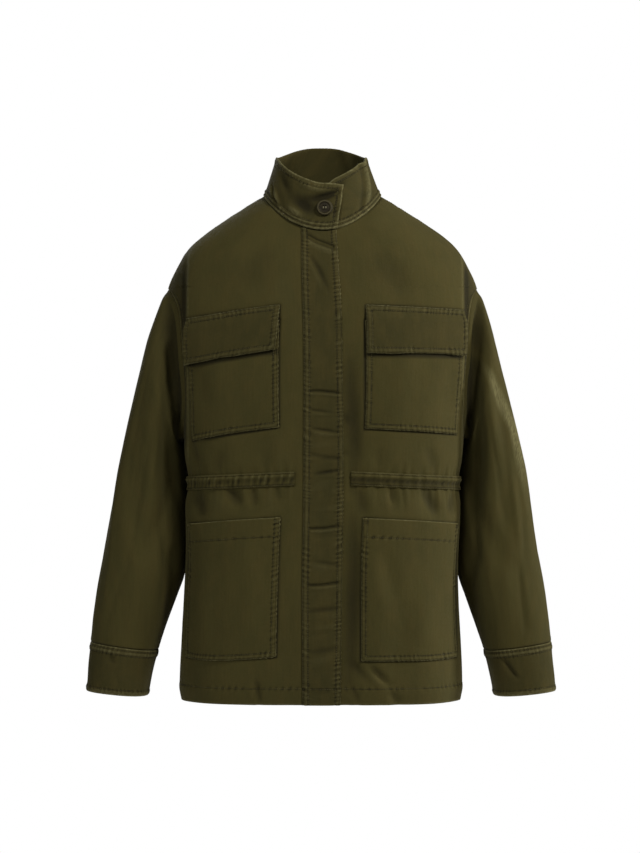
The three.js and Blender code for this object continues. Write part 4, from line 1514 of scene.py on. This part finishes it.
@dataclass
class PatchPocket(LaidPiece):
    """A patch pocket, double stitched down both sides and along its foot."""

    band: float = 0.0
    flap_foot: tuple[float, float] | None = None
    seam: Seam = Seam()

    def build(self) -> None:
        """Builds and dresses the pocket."""
        cloth, u, down = self.grid(2.1)
        if self.flap_foot:
            top = self.in_top[1] + (self.out_top[1] - self.in_top[1]) * u
            low = self.in_low[1] + (self.out_low[1] - self.in_low[1]) * u
            under = self.flap_foot[0] + (self.flap_foot[1] - self.flap_foot[0]) * u - top - (low - top) * down
            # Painted shadow of the flap: a dark band on the pocket just below the flap's foot.
            cloth.relief.wear -= 0.9 * smooth(-4, 1, under) * smooth(9, 2, under)
        cloth.sew(self.seam, (Edge.START, Edge.END, Edge.LOW), self.seed)
        mouth = Seam(lines=(self.band or 1.8,), pitch=12, swell=0.2, pucker=0.12, reach=5, edge=0.8, dark=0.45)
        cloth.sew(mouth, (Edge.HIGH,), self.seed + 3)
        cloth.raise_relief()
        for inset in self.seam.lines:
            cloth.stitch(Edge.START, inset, (inset, 1))
            cloth.stitch(Edge.END, inset, (inset, 1))
            cloth.stitch(Edge.LOW, inset, (inset, inset))
        if self.band:
            cloth.stitch(Edge.HIGH, self.band, (8, 8))
            for edge in (Edge.START, Edge.END):
                self.tack(cloth, edge)
        declare(cloth, self.finish)

    def tack(self, cloth: Cloth, edge: Edge) -> None:
        """Sews the bar tack at a top corner.

        Args:
            cloth: the pocket.
            edge: the side whose corner is tacked.
        """
        column = {Edge.START: 0, Edge.END: -1}[edge]
        normals = cloth.normals()
        step = 1 if edge is Edge.START else -1
        for k in range(2, 6):
            path = cloth.outer[-9:-1, column + step * k]
            cloth.thread.sew(path + normals[-9:-1, column + step * k] * 0.3, normals[-9:-1, column + step * k], (0, 0))


@dataclass
class PocketFlap(LaidPiece):
    """A flap sewn along its top and stitched all round, its foot free over the pocket."""

    finish: Finish = field(default_factory=lambda: DOUBLED)

    def build(self) -> None:
        """Builds and dresses the flap."""
        cloth, u, down = self.grid(1.7)
        free = Seam(lines=(1.7, 8.2), pitch=6.4, swell=0.5, pucker=0.4, reach=8, edge=1.2)
        cloth.sew(free, (Edge.START, Edge.END, Edge.LOW, Edge.HIGH), self.seed)
        wave = waver(u * 5.5, down * 2, 0.0, self.seed + 5)
        cloth.relief.height += 1.1 * wave * smooth(0.55, 1.0, down)
        inner_wave = 1.0 * wave * smooth(0.55, 1.0, down)
        cloth.inner = cloth.inner + cloth.normals() * inner_wave[..., None]
        cloth.raise_relief()
        for inset in (1.9, 8.2):
            for edge in Edge:
                cloth.stitch(edge, inset, (inset, inset))
        declare(cloth, self.finish)


@dataclass
class WaistCasing:
    """The drawcord casing: a puckered strip round the waist, open at the fly strip."""

    form: BodyForm
    tall: float = 20.0
    lift: float = 0.5
    wall: float = 1.7
    right: float = -18.0
    left: float = 15.5

    def build(self) -> None:
        """Builds and dresses the casing."""
        shares = np.linspace(0, 1, 581)
        rows = spaced(self.tall, 1.5, 2, 0.8) * 2 - 1
        angle = between(self.right, self.left - 360.0, shares)[None, :] + 0 * rows[:, None]
        level = self.form.waist_level(angle) + rows[:, None] * self.tall / 2
        edge = (1 - np.abs(rows[:, None])) * self.tall / 2
        drop = self.wall * 0.85 * (1 - np.sqrt(1 - np.clip(1 - edge / 1.3, 0, 1) ** 2))
        puff = 2.0 * bump(rows[:, None], 0.5, 0.42) + 0.5 * bump(rows[:, None], -0.75, 0.25)
        outer = self.form.lay(angle, level, self.lift + self.wall - drop + puff)
        inner = self.form.lay(angle, level, self.lift * 0.5 + 0 * edge)
        cloth = Cloth("waist_casing", outer, inner)
        along = cloth.across
        calm = smooth(4, 40, outer[..., 0]) * smooth(225, 200, outer[..., 0]) * smooth(8, -8, outer[..., 1])
        for pitch, seed in ((10.5, 71), (6.3, 72)):
            wave = ripple(along, level, pitch, seed) * (1 - 0.75 * calm)
            cloth.relief.height += 0.75 * wave * smooth(0.6, 3, edge)
            # Pucker tops painted paler and hollows darker, as light and shade.
            cloth.relief.wear += 0.3 * wave * smooth(0.6, 3, edge)
        gathers = 0.4 + 0.75 * ripple(along, level, 11, 73) * (1 - 0.6 * calm) + 0.5 * calm
        slots = bump(rows[:, None], -0.15, 0.5) * gathers
        # The casing's upper ridge painted paler as a highlight, and its gathered slots painted dark as shade.
        cloth.relief.add(Relief(-0.5 * slots, 0.35 * bump(rows[:, None], 0.55, 0.3) - 0.75 * slots))
        shaded_groove = bump(edge, 2.4, 0.9)
        # Pale edges, partly wear and partly painted highlight; painted shade in the stitch grooves.
        cloth.relief.add(Relief(-0.6 * shaded_groove, 0.25 * bump(edge, 0.6, 0.9) - 0.75 * shaded_groove))
        cloth.raise_relief()
        cloth.stitch(Edge.LOW, 2.4, (1, 1))
        cloth.stitch(Edge.HIGH, 2.4, (1, 1))
        declare(cloth, TWILL)


def section(table: Table, turn: Array, step: Array, fold: Array | float, side: Side) -> Array:
    """Points of a sleeve's or cuff's sections.

    Args:
        table: the sections.
        turn: degrees round, 0 outside and 90 in front.
        step: place along.
        fold: height of the folds there.
        side: the wearer's side.

    Returns:
        Points before the lean.
    """
    turn, step = np.broadcast_arrays(np.asarray(turn, float), np.asarray(step, float))
    at = {c: table.read(c, step) for c in SECTION_COLUMNS[1:]}
    cos, sin = np.cos(np.radians(turn)), np.sin(np.radians(turn))
    rho = (np.abs(cos) ** at["power"] + np.abs(sin) ** at["power"]) ** (-1 / at["power"])
    half_x, half_z = (at["outX"] - at["inX"]) / 2, (at["outZ"] - at["inZ"]) / 2
    radius = rho * np.hypot(np.hypot(half_x, half_z) * cos, at["deep"] * sin)
    grow = 1 + fold / radius
    x = at["inX"] + half_x + half_x * rho * cos * grow
    z = at["inZ"] + half_z + half_z * rho * cos * grow
    return np.stack([side.value * x, at["mid"] - at["deep"] * rho * sin * grow, z], axis=-1)


# Finer creases of each sleeve, as turn, step, length, width, depth and slant.
SLEEVE_CREASES = {
    Side.RIGHT: (
        (58, 4.5, 6, 5, -1.3, 1), (84, 8, 7, 5, -1.4, -2), (104, 5.5, 5, 7, 1.6, -3), (46, 9.5, 6, 6, 1.2, 2),
        (128, 10, 5, 6, -1.5, 5), (70, 12, 3, 5, -1.3, -4), (150, 7, 4, 8, -2.0, 8), (26, 7, 8, 6, -1.0, 1),
        (206, 6, 5, 8, -1.6, 4), (240, 9, 5, 7, 1.4, -5), (285, 7, 6, 7, -1.6, 3), (332, 9, 7, 7, -1.3, -2),
    ),
    Side.LEFT: (
        (52, 7, 7, 5, -1.5, 2), (66, 9, 7, 4.5, 1.2, 1), (90, 6, 6, 6, -1.5, -2), (110, 10.5, 5, 6, 1.5, 4),
        (36, 4.5, 6, 6, 1.4, -1), (74, 11.8, 3.4, 5, -1.4, 5), (140, 8.5, 4, 8, -2.1, -7), (20, 9.5, 7, 6, -1.1, 1),
        (41, 5.0, 7, 9, 2.2, -3), (62, 5.2, 7, 10, -1.6, -3),
        (200, 7, 5, 8, -1.7, -4), (236, 8, 5, 7, 1.5, 5), (278, 9.5, 5, 7, -1.7, -4), (326, 7, 7, 7, -1.4, 2),
    ),
}


@dataclass
class Sleeve:
    """One sleeve, from the armhole to the cuff seam."""

    form: BodyForm
    side: Side
    wall: float = 1.7
    columns: int = 148
    slimmed: float = 2.6
    valley_front: float = 15.0
    valley_back: float = 8.0
    hollows: tuple = ((122, 3.6, 7, 20, -10, 2), (132, 6.8, 9, 16, -8, 2), (240, 5, 11, 17, -6, -2))

    def rim(self, turn: Array) -> tuple[Array, Array]:
        """Angle and level of the armhole's rim at each turn.

        Args:
            turn: degrees round the sleeve, 0 on its outer side.

        Returns:
            The rim's angles and levels.
        """
        form = self.form
        cos, sin = np.cos(np.radians(turn)), np.sin(np.radians(turn))
        power = np.where(cos > 0, form.arm_powers[0], form.arm_powers[1])
        rho = (np.abs(cos) ** power + np.abs(sin) ** power) ** (-1 / power)
        tall = (form.arm_top - form.arm_low) / 2 - form.seam
        level = (form.arm_top + form.arm_low) / 2 + tall * rho * cos
        depth = (form.arm_half - form.seam) * rho * sin
        front = form.angle_at_depth(np.abs(depth), level, False)
        back = form.angle_at_depth(np.abs(depth), level, True)
        return self.side.value * np.where(depth < 0, back, front), level

    def face(self, turn: Array, step: Array, height: Array | float) -> Array:
        """Points of the sleeve's outer face, joined to the armhole.

        Args:
            turn: degrees round the sleeve.
            step: place along it, in sections.
            height: distance outwards.

        Returns:
            The points as they stand.
        """
        folds = fold_sum(SLEEVE_FOLDS, turn, step, 1) * smooth(0, 2, step) * smooth(14, 13, step)
        points = section(SLEEVE, turn, step, folds + height, self.side)
        angle, level = self.rim(turn[0])
        away = self.form.form(angle, level) - section(SLEEVE, turn[0], np.zeros(turn.shape[1]), 0.0, self.side)
        return tuck(lean(points + away[None] * (np.clip(1 - step, 0, 1) ** 2)[..., None]), smooth(2.0, 0.2, step))

    def build(self) -> None:
        """Builds and dresses the sleeve."""
        side, seed = self.side, 100 + 20 * self.side.value
        spans = (np.linspace(0, 0.8, 13)[:-1], np.linspace(0.8, 13.6, 140)[:-1], np.linspace(13.6, 14, 11))
        rows = np.concatenate(spans)
        turn, step = np.meshgrid(np.arange(0, 360, 360 / self.columns), rows if len(rows) % 2 else np.delete(rows, 60))
        fine = fold_sum(SLEEVE_CREASES[side], turn, step, 1) + fold_sum(self.hollows, turn, step, 1)
        ring_x, ring_y = 1.1 * np.cos(np.radians(turn)), 1.1 * np.sin(np.radians(turn))
        fine = fine + 1.0 * waver(ring_x * 1.6, ring_y * 1.6, step / 3.2, seed)
        fine = fine + 0.4 * waver(ring_x * 4, ring_y * 4, step / 1.1, seed + 1)
        fine = fine + 0.12 * waver(ring_x * 9, ring_y * 9, step * 3, seed + 2)
        fine = fine * smooth(0, 1.2, step) * smooth(14.2, 13.2, step)
        front = smooth(28, 60, turn) * smooth(160, 138, turn)
        behind = smooth(205, 235, turn) * smooth(330, 300, turn)
        fine = fine - self.slimmed * outer_side(turn) * smooth(1.5, 3, step)
        valley = smooth(0.02, 0.36, step) * smooth(2.6, 0.7, step)
        fine = fine - (self.valley_front * front + self.valley_back * behind) * valley
        outer = self.face(turn, step, fine)
        inner = self.face(turn, step, fine - self.wall)
        cloth = Cloth("sleeve_" + side.word, outer, inner, ring=True)
        beside = np.abs(outer[..., 0] - 6)
        height = outer[..., 2]
        # Painted light and shade on the folds, and painted shade over the front by the armhole, deepest beside the
        # body.
        near_body = smooth(212, 197, beside) * smooth(-96, -150, height) * smooth(-440, -370, height) * front
        cloth.relief.wear += 0.04 * np.clip(fine, -5, 5) - 0.5 * front * smooth(1.5, 0.5, step) - 1.2 * near_body
        if side is Side.LEFT:
            # Painted highlight: a pale streak down the outer fold of the left sleeve.
            painted_highlight_streak = bump(turn, 46 + 11 * np.clip(4.5 - step, -0.2, 3), 8) * bump(step, 4.4, 2.7)
            cloth.relief.wear += painted_highlight_streak * (2.1 + 0.9 * waver(turn / 6, step * 1.3, 0.0, 140))
        from_rim, from_cuff = cloth.from_edge(Edge.LOW), cloth.from_edge(Edge.HIGH)
        along = turn * 1.6
        wave = ripple(along, from_rim, 9, seed + 3)
        flanks = 0.3 + 0.7 * np.abs(np.sin(np.radians(turn)))
        sink = 0.45 * bump(from_rim, 0, 1.6) + 2.6 * bump(from_rim, 5, 7) * flanks
        # The armhole seam sinks, with painted shade along the seam line.
        cloth.relief.add(Relief(0.5 * wave * bump(from_rim, 6, 7) - sink, -0.5 * bump(from_rim, 0, 2.2)))
        wave = ripple(along, from_cuff, 9, seed + 4)
        rise = 0.6 * wave * bump(from_cuff, 4, 9) - 0.3 * bump(from_cuff, 0, 1.4)
        # Painted shade along the cuff seam.
        cloth.relief.add(Relief(rise, -0.5 * bump(from_cuff, 0, 1.6)))
        under = np.abs((turn - 186 + 180) % 360 - 180) * 1.1
        rise = -0.8 * bump(under, 0, 1.6) + 0.3 * ripple(cloth.up, under, 9, seed + 5) * bump(under, 0, 8)
        # Painted shade along the underarm seam.
        cloth.relief.add(Relief(rise, -0.5 * bump(under, 0, 1.8)))
        cloth.raise_relief()
        declare(cloth, TWILL)


@dataclass
class Cuff:
    """One cuff, stitched twice under its seam and once above its mouth."""

    side: Side
    wall: float = 2.6
    tall: float = 70.0
    columns: int = 150
    slimmed: float = 3.0

    def build(self) -> None:
        """Builds and dresses the cuff."""
        side, seed = self.side, 200 + 20 * self.side.value
        turn, step = np.meshgrid(np.arange(0, 360, 360 / self.columns), 3 * spaced(self.tall, 1.8, 14, 1.1))
        ring_x, ring_y = np.cos(np.radians(turn)), np.sin(np.radians(turn))
        fine = 0.5 * waver(ring_x * 2.2, ring_y * 2.2, step / 1.2, seed) * smooth(0, 0.5, step)
        crease = (120, 1.2, 1.3, 5, -4.2, -13) if side is Side.LEFT else (82, 0.8, 0.5, 6, -2.6, 4)
        dent = fold_sum((crease, (250, 1.5, 2, 8, -1.4, 6)), turn, step, 1)
        fine = fine + dent - self.slimmed * outer_side(turn)
        outer = lean(section(CUFF, turn, step, fine, side))
        inner = lean(section(CUFF, turn, step, fine - self.wall, side))
        cloth = Cloth("cuff_" + side.word, outer, inner, ring=True)
        cloth.sew(Seam(lines=(3.6, 10.4), pitch=6.0, swell=0.8, pucker=0.6, reach=5, edge=0.5), (Edge.LOW,), seed)
        cloth.sew(Seam(lines=(7.4,), pitch=6.2, swell=0.6, pucker=0.6, reach=5, edge=1.7), (Edge.HIGH,), seed + 1)
        for edge in (Edge.LOW, Edge.HIGH):
            cloth.relief.height -= 0.8 * bump(cloth.from_edge(edge), 0, 0.9)
        ridge = bump(cloth.from_edge(Edge.LOW), 7.0, 2.0) + 0.7 * bump(cloth.from_edge(Edge.HIGH), 4.0, 2.6)
        # Ridges painted paler as highlights and the crease painted darker as shade.
        cloth.relief.add(Relief(0.5 * ridge, 0.4 * ridge + 0.14 * dent * smooth(0.2, 0.5, step)))
        cloth.raise_relief()
        for edge, inset in ((Edge.LOW, 3.6), (Edge.LOW, 10.4), (Edge.HIGH, 7.4)):
            cloth.stitch(edge, inset)
        declare(cloth, DOUBLED)


@dataclass
class Collar:
    """The standing funnel collar, lapped over itself at the throat."""

    form: BodyForm
    wall: float = 3.0
    half: float = 65.2
    depths: tuple[float, float] = (76.0, 52.0)
    side_top: float = 67.8
    front_top: float = 25.0
    back_top: float = 86.0
    power: float = 2.2
    over: tuple[float, float] = (12.0, 22.0)
    under: float = -374.0
    band: float = 68.0
    length: float = 470.0

    def place(self, angle: Array, height: Array, distance: Array | float) -> Array:
        """Points of the collar.

        Args:
            angle: degrees round the neck, 0 in front.
            height: share of the way from neck seam to top edge.
            distance: distance outwards.

        Returns:
            Points as the collar stands.
        """
        angle, height = np.broadcast_arrays(np.asarray(angle, float), np.asarray(height, float))
        base = self.form.form(angle, np.full(angle.shape, self.form.neck))
        base[..., 2] += 0.8
        sin, cos = np.sin(np.radians(angle)), np.cos(np.radians(angle))
        deep = np.where(cos > 0, self.depths[0], self.depths[1])
        radius = (np.abs(cos / deep) ** self.power + np.abs(sin / self.half) ** self.power) ** (-1 / self.power)
        rise = np.where(cos > 0, self.front_top, self.back_top)
        low = smooth(-346, -360, angle)
        under = (1 - np.abs(sin) ** 1.25) * (1 - low) + 1.06 * low
        front = np.where(angle > 0, 1 + 0.36 * sin**2, np.where(angle < -270, under, 1 - np.abs(sin) ** 1.5))
        crown = np.where(cos > 0, front, 1 - np.abs(sin) ** 3)
        tall = self.side_top + (rise - self.side_top) * crown
        top = np.stack([radius * sin, -radius * cos, tall], axis=-1)
        points = base + (top - base) * height[..., None]
        out = distance + 3.7 * smooth(-56, -24, angle)
        points[..., 0] += out * sin
        points[..., 1] -= out * cos
        return lean(points)

    def hollows(self, angle: Array, height: Array) -> Array:
        """Height of the collar's own dents and folds.

        Args:
            angle: degrees round the neck, 0 in front.
            height: share of the way from neck seam to top edge.

        Returns:
            Distance outwards.
        """
        near = (angle + 180) % 360 - 180
        slope = near - 34 * (height - 0.7)
        corner = near + 46 * (height - 0.3)
        right = near - 15 * height + 22 * (height - 0.5) ** 2
        across = near + 24 * (height - 0.5)
        dents = -4.6 * bump(near, -18, 11) * bump(height, 0.42, 0.17)
        dents = dents + 4.0 * bump(near, -25, 8) * bump(height, 0.24, 0.1)
        dents = dents - 6.0 * bump(slope, 3, 12) * bump(height - 0.006 * near, 0.7, 0.075)
        dents = dents + 2.6 * bump(near, -8, 12) * bump(height, 0.86, 0.07)
        dents = dents - 2.4 * bump(near, 12, 4) * bump(height, 0.34, 0.16)
        dents = dents + (3.3 * bump(right, 47, 5.5) - 2.2 * bump(right, 39, 4)) * smooth(0.02, 0.3, height)
        dents = dents - 7.5 * bump(corner, -57, 2.6) * bump(height, 0.25, 0.1)
        dents = dents + 4.6 * bump(corner, -52, 2.2) * bump(height, 0.27, 0.12)
        dents = dents + 3.4 * bump(corner, -62, 2.4) * bump(height, 0.27, 0.12)
        dents = dents - 2.6 * bump(across, -38, 7) * bump(height, 0.66, 0.16)
        dents = dents - 2.6 * bump(near - 12 * height, 128, 10) - 2.2 * bump(near, -120, 11) * bump(height, 0.4, 0.4)
        around = waver(np.sin(np.radians(near)) * 2.6, np.cos(np.radians(near)) * 2.6, height * 1.6, 301)
        return (dents + 0.8 * around) * smooth(0, 0.12, height)

    def build(self) -> None:
        """Builds and dresses the collar."""
        height, across = np.meshgrid(spaced(self.band, 1.9, 9, 1.2), spaced(self.length, 2.2, 9, 1.2), indexing="ij")
        start = self.over[0] + (self.over[1] - self.over[0]) * height
        angle = start + (self.under - start) * across
        dents = self.hollows(angle, height)
        edge = np.minimum(height, 1 - height) * self.band
        pinch = 0.9 * (1 - np.sqrt(1 - np.clip(1 - edge / 1.8, 0, 1) ** 2))
        outer = self.place(angle, height, dents - pinch)
        inner = self.place(angle, height, dents - self.wall + pinch)
        cloth = Cloth("collar", outer, inner)
        # Painted shade in the collar's dents and painted highlight on its bulges.
        cloth.relief.wear += 0.24 * dents
        top = Seam(lines=(7.4,), pitch=6, swell=0.5, pucker=0.5, reach=6, edge=1.15)
        base = Seam(lines=(4.3, 9.8), pitch=8, swell=1.0, pucker=0.25, reach=4, edge=1.0)
        cloth.sew(base, (Edge.LOW,), 311)
        cloth.sew(top, (Edge.HIGH, Edge.START), 312)
        for line in (2.0, 7.2):
            roll = bump(cloth.from_edge(Edge.LOW), line, 1.4)
            # The rolled ridges along the base painted paler, as highlights.
            cloth.relief.add(Relief(0.7 * roll, 0.45 * roll))
        cloth.raise_relief()
        for edge_, inset in ((Edge.LOW, 4.3), (Edge.LOW, 9.8), (Edge.HIGH, 7.4), (Edge.START, 7.4)):
            cloth.stitch(edge_, inset, (2, 2))
        declare(cloth, DOUBLED)


@dataclass
class CollarButton:
    """The four-hole button at the throat, with its thread."""

    collar: Collar
    radius: float = 11.5
    tall: float = 3.6
    angle: float = 1.6
    height: float = 0.46
    hole: float = 1.15
    hole_out: float = 2.5

    def seat(self) -> tuple[Array, Array, Array, Array]:
        """Centre of the button's back, and its outward, sideways and upward directions.

        Returns:
            The centre and the three directions.
        """

        def at(angle: float, height: float) -> Array:
            """Point of the collar at an angle and a height."""
            return self.collar.place(np.array(angle), np.array(height), 0.0)

        across = at(self.angle + 0.5, self.height) - at(self.angle - 0.5, self.height)
        up = at(self.angle, self.height + 0.02) - at(self.angle, self.height - 0.02)
        out = unit(np.cross(across, up))
        out = out if out[1] < 0 else -out
        side = unit(np.cross(up, out))
        return at(self.angle, self.height) + out * 0.9, out, side, np.cross(out, side)

    def build(self) -> None:
        """Builds the button and the crossed thread in its holes."""
        centre, out, side, up = self.seat()
        radii = np.concatenate([np.linspace(0, 7.2, 34), np.linspace(7.4, self.radius, 20)])
        turns = 2 * np.pi * np.arange(96) / 96
        r, turn = np.meshgrid(radii, turns, indexing="ij")
        rim = smooth(6.9, 8.1, r) * 1.35 - 1.9 * np.clip((r - 10.3) / 1.2, 0, 1) ** 2.4
        tall = self.tall - 1.3 + rim + 0.25 * smooth(7, 0, r)
        x, z = r * np.cos(turn), r * np.sin(turn)
        for sx, sz in ((1, 1), (1, -1), (-1, 1), (-1, -1)):
            far = np.hypot(x - sx * self.hole_out / math.sqrt(2), z - sz * self.hole_out / math.sqrt(2))
            tall = tall - 1.7 * smooth(self.hole + 0.28, self.hole - 0.28, far)
        top = centre + side * x[..., None] + up * z[..., None] + out * tall[..., None]
        foot = centre + side * (x[-1] * 0.93)[:, None] + up * (z[-1] * 0.93)[:, None]
        points = np.concatenate([top.reshape(-1, 3), foot, centre[None]])
        n, rings = 96, len(radii)
        k = np.arange(n)
        after = (k + 1) % n
        quads = [np.stack([i * n + k, i * n + after, (i + 1) * n + after, (i + 1) * n + k], 1) for i in range(1, rings)]
        faces = np.concatenate(quads).tolist()
        faces += [[0, n + int(j), n + int((j + 1) % n)] for j in k]
        faces += [[rings * n + int((j + 1) % n), rings * n + int(j), len(points) - 1] for j in k]
        used = np.unique(np.concatenate([np.array(f) for f in faces]))
        index = {int(old): new for new, old in enumerate(used)}
        mesh = bpy.data.meshes.new("collar_button_face")
        mesh.from_pydata((points[used] * MM).tolist(), [], [[index[v] for v in f] for f in faces])
        # A pale ring round the raised rim: partly rubbed, partly a painted highlight.
        rubbed_and_lit = np.concatenate([bump(r, 9.6, 0.55).ravel(), np.zeros(n + 1)])[used]
        mesh.attributes.new("wear", "FLOAT", "POINT").data.foreach_set("value", rubbed_and_lit.astype(np.float32))
        mesh.polygons.foreach_set("use_smooth", np.ones(len(mesh.polygons), bool))
        mesh.materials.append(HORN.material())
        button = bpy.data.objects.new("collar_button_face", mesh)
        bpy.context.scene.collection.objects.link(button)
        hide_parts("collar_button")
        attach(button, "root")
        thread = Thread("collar_button_thread")
        thread.radius, thread.length, thread.pitch = 0.5, 3.6, 3.6
        for sx in (-1, 1):
            for shift in (-0.35, 0.35):
                ends = [side * (sx * 1.77 + shift) + up * s * 1.95 + out * (self.tall - 1.0) for s in (-1, 1)]
                thread.sew(np.array([centre + ends[0], centre + ends[1]]), np.array([out, out]), (0, 0))
        thread.build(BUTTON_THREAD)
        LOG.info("collar_button_face: %d faces", len(mesh.polygons))


@dataclass
class Studio:
    """Pale floor, soft lights and the camera at the photograph's place."""

    distance: float = 4.2
    height: float = -0.319
    aside: float = -0.0014
    lens: float = 123.1
    floor: float = -1.45
    ambient: float = 0.055

    def lamp(
        self, name: str, place: tuple[float, float, float], size: float, power: float, tint: tuple[float, float, float]
    ) -> None:
        """A soft square lamp that faces the jacket.

        Args:
            name: its name.
            place: where it hangs.
            size: its side in metres.
            power: its power in watts.
            tint: its colour.
        """
        data = bpy.data.lights.new(name, "AREA")
        data.shape, data.size, data.energy, data.color = "SQUARE", size, power, tint
        lamp = bpy.data.objects.new(name, data)
        lamp.location = place
        away = [a - b for a, b in zip(place, (0.0, 0.0, -0.32))]
        lamp.rotation_euler = Vector(away).to_track_quat("Z", "Y").to_euler()
        bpy.context.scene.collection.objects.link(lamp)

    def build(self) -> None:
        """Builds the floor, the sky, the lamps and the camera."""
        world = bpy.data.worlds.new("pale_studio")
        world.use_nodes = True
        tree = world.node_tree
        sky = tree.nodes["Background"]
        sky.inputs["Color"].default_value = (1, 1, 1, 1)
        backdrop = tree.nodes.new("ShaderNodeLightPath").outputs["Is Camera Ray"]
        share = tree.nodes.new("ShaderNodeMapRange")
        share.inputs["To Min"].default_value = self.ambient
        tree.links.new(backdrop, share.inputs["Value"])
        tree.links.new(share.outputs["Result"], sky.inputs["Strength"])
        bpy.context.scene.world = world
        bpy.context.scene.view_settings.view_transform = "Standard"
        self.lamp("key", (1.35, -1.7, 1.4), 0.45, 50, (1.0, 0.985, 0.95))
        self.lamp("fill", (-1.7, -2.4, 1.3), 1.0, 36, (0.97, 0.985, 1.0))
        self.lamp("edge", (3.0, 0.1, 0.3), 0.5, 70, (1.0, 0.99, 0.95))
        self.lamp("behind", (-1.6, 3.0, 1.4), 1.6, 45, (0.97, 0.985, 1.0))
        mesh = bpy.data.meshes.new("floor")
        corners = [(x, y, self.floor) for x, y in ((-3, -3), (3, -3), (3, 3), (-3, 3))]
        mesh.from_pydata(corners, [], [(0, 1, 2, 3)])
        n = Nodes("pale_floor")
        n.feed(n.shader, "Base Color", (0.82, 0.82, 0.81, 1))
        n.feed(n.shader, "Roughness", 0.9)
        mesh.materials.append(n.material)
        floor = bpy.data.objects.new("floor", mesh)
        bpy.context.scene.collection.objects.link(floor)
        camera = bpy.data.cameras.new("camera")
        camera.lens, camera.sensor_width, camera.clip_end = self.lens, 36, 50
        eye = bpy.data.objects.new("camera", camera)
        eye.location = (self.aside, -self.distance, self.height)
        eye.rotation_euler = (math.pi / 2, 0, 0)
        bpy.context.scene.collection.objects.link(eye)
        bpy.context.scene.camera = eye


def main() -> None:
    """Builds the jacket piece by piece and the studio round it."""
    logging.basicConfig(level=logging.INFO, format="%(name)s %(message)s")
    Studio().build()
    form = BodyForm()
    pockets = (
        PatchPocket(
            form, "chest_pocket_right", (-65.5, -170), (-186.7, -186), (-64.5, -320), (-181.8, -339), 401,
            flap_foot=(-212.6, -232),
        ),
        PatchPocket(
            form, "chest_pocket_left", (51.8, -171), (186.7, -178), (52.8, -322), (181.8, -330), 411,
            flap_foot=(-217, -218),
        ),
        PatchPocket(
            form, "lower_pocket_right", (-59.6, -446), (-185.2, -457), (-61.6, -640.5), (-186.7, -645), 421,
            swell=1.9, dip=4, band=27,
        ),
        PatchPocket(
            form, "lower_pocket_left", (53.3, -447), (185.2, -456), (54.7, -646), (187.7, -645), 431,
            swell=1.9, dip=1, band=27,
        ),
        PocketFlap(
            form, "chest_flap_right", (-63.5, -149.6), (-191.1, -167), (-70.4, -212.6), (-190.1, -232), 441,
            wall=2.2, lift=6.0, swell=0,
        ),
        PocketFlap(
            form, "chest_flap_left", (53.4, -150), (192.6, -155), (53.8, -217), (190.6, -218), 451,
            wall=2.2, lift=5.2, swell=0,
        ),
    )
    Panels(form, outlines=tuple(pocket.outline() for pocket in pockets)).build()
    FlyStrip(form).build()
    for side in Side:
        Sleeve(form, side).build()
        Cuff(side).build()
    collar = Collar(form)
    collar.build()
    CollarButton(collar).build()
    for pocket in pockets:
        pocket.build()
    WaistCasing(form).build()


if __name__ == "__main__":
    main()
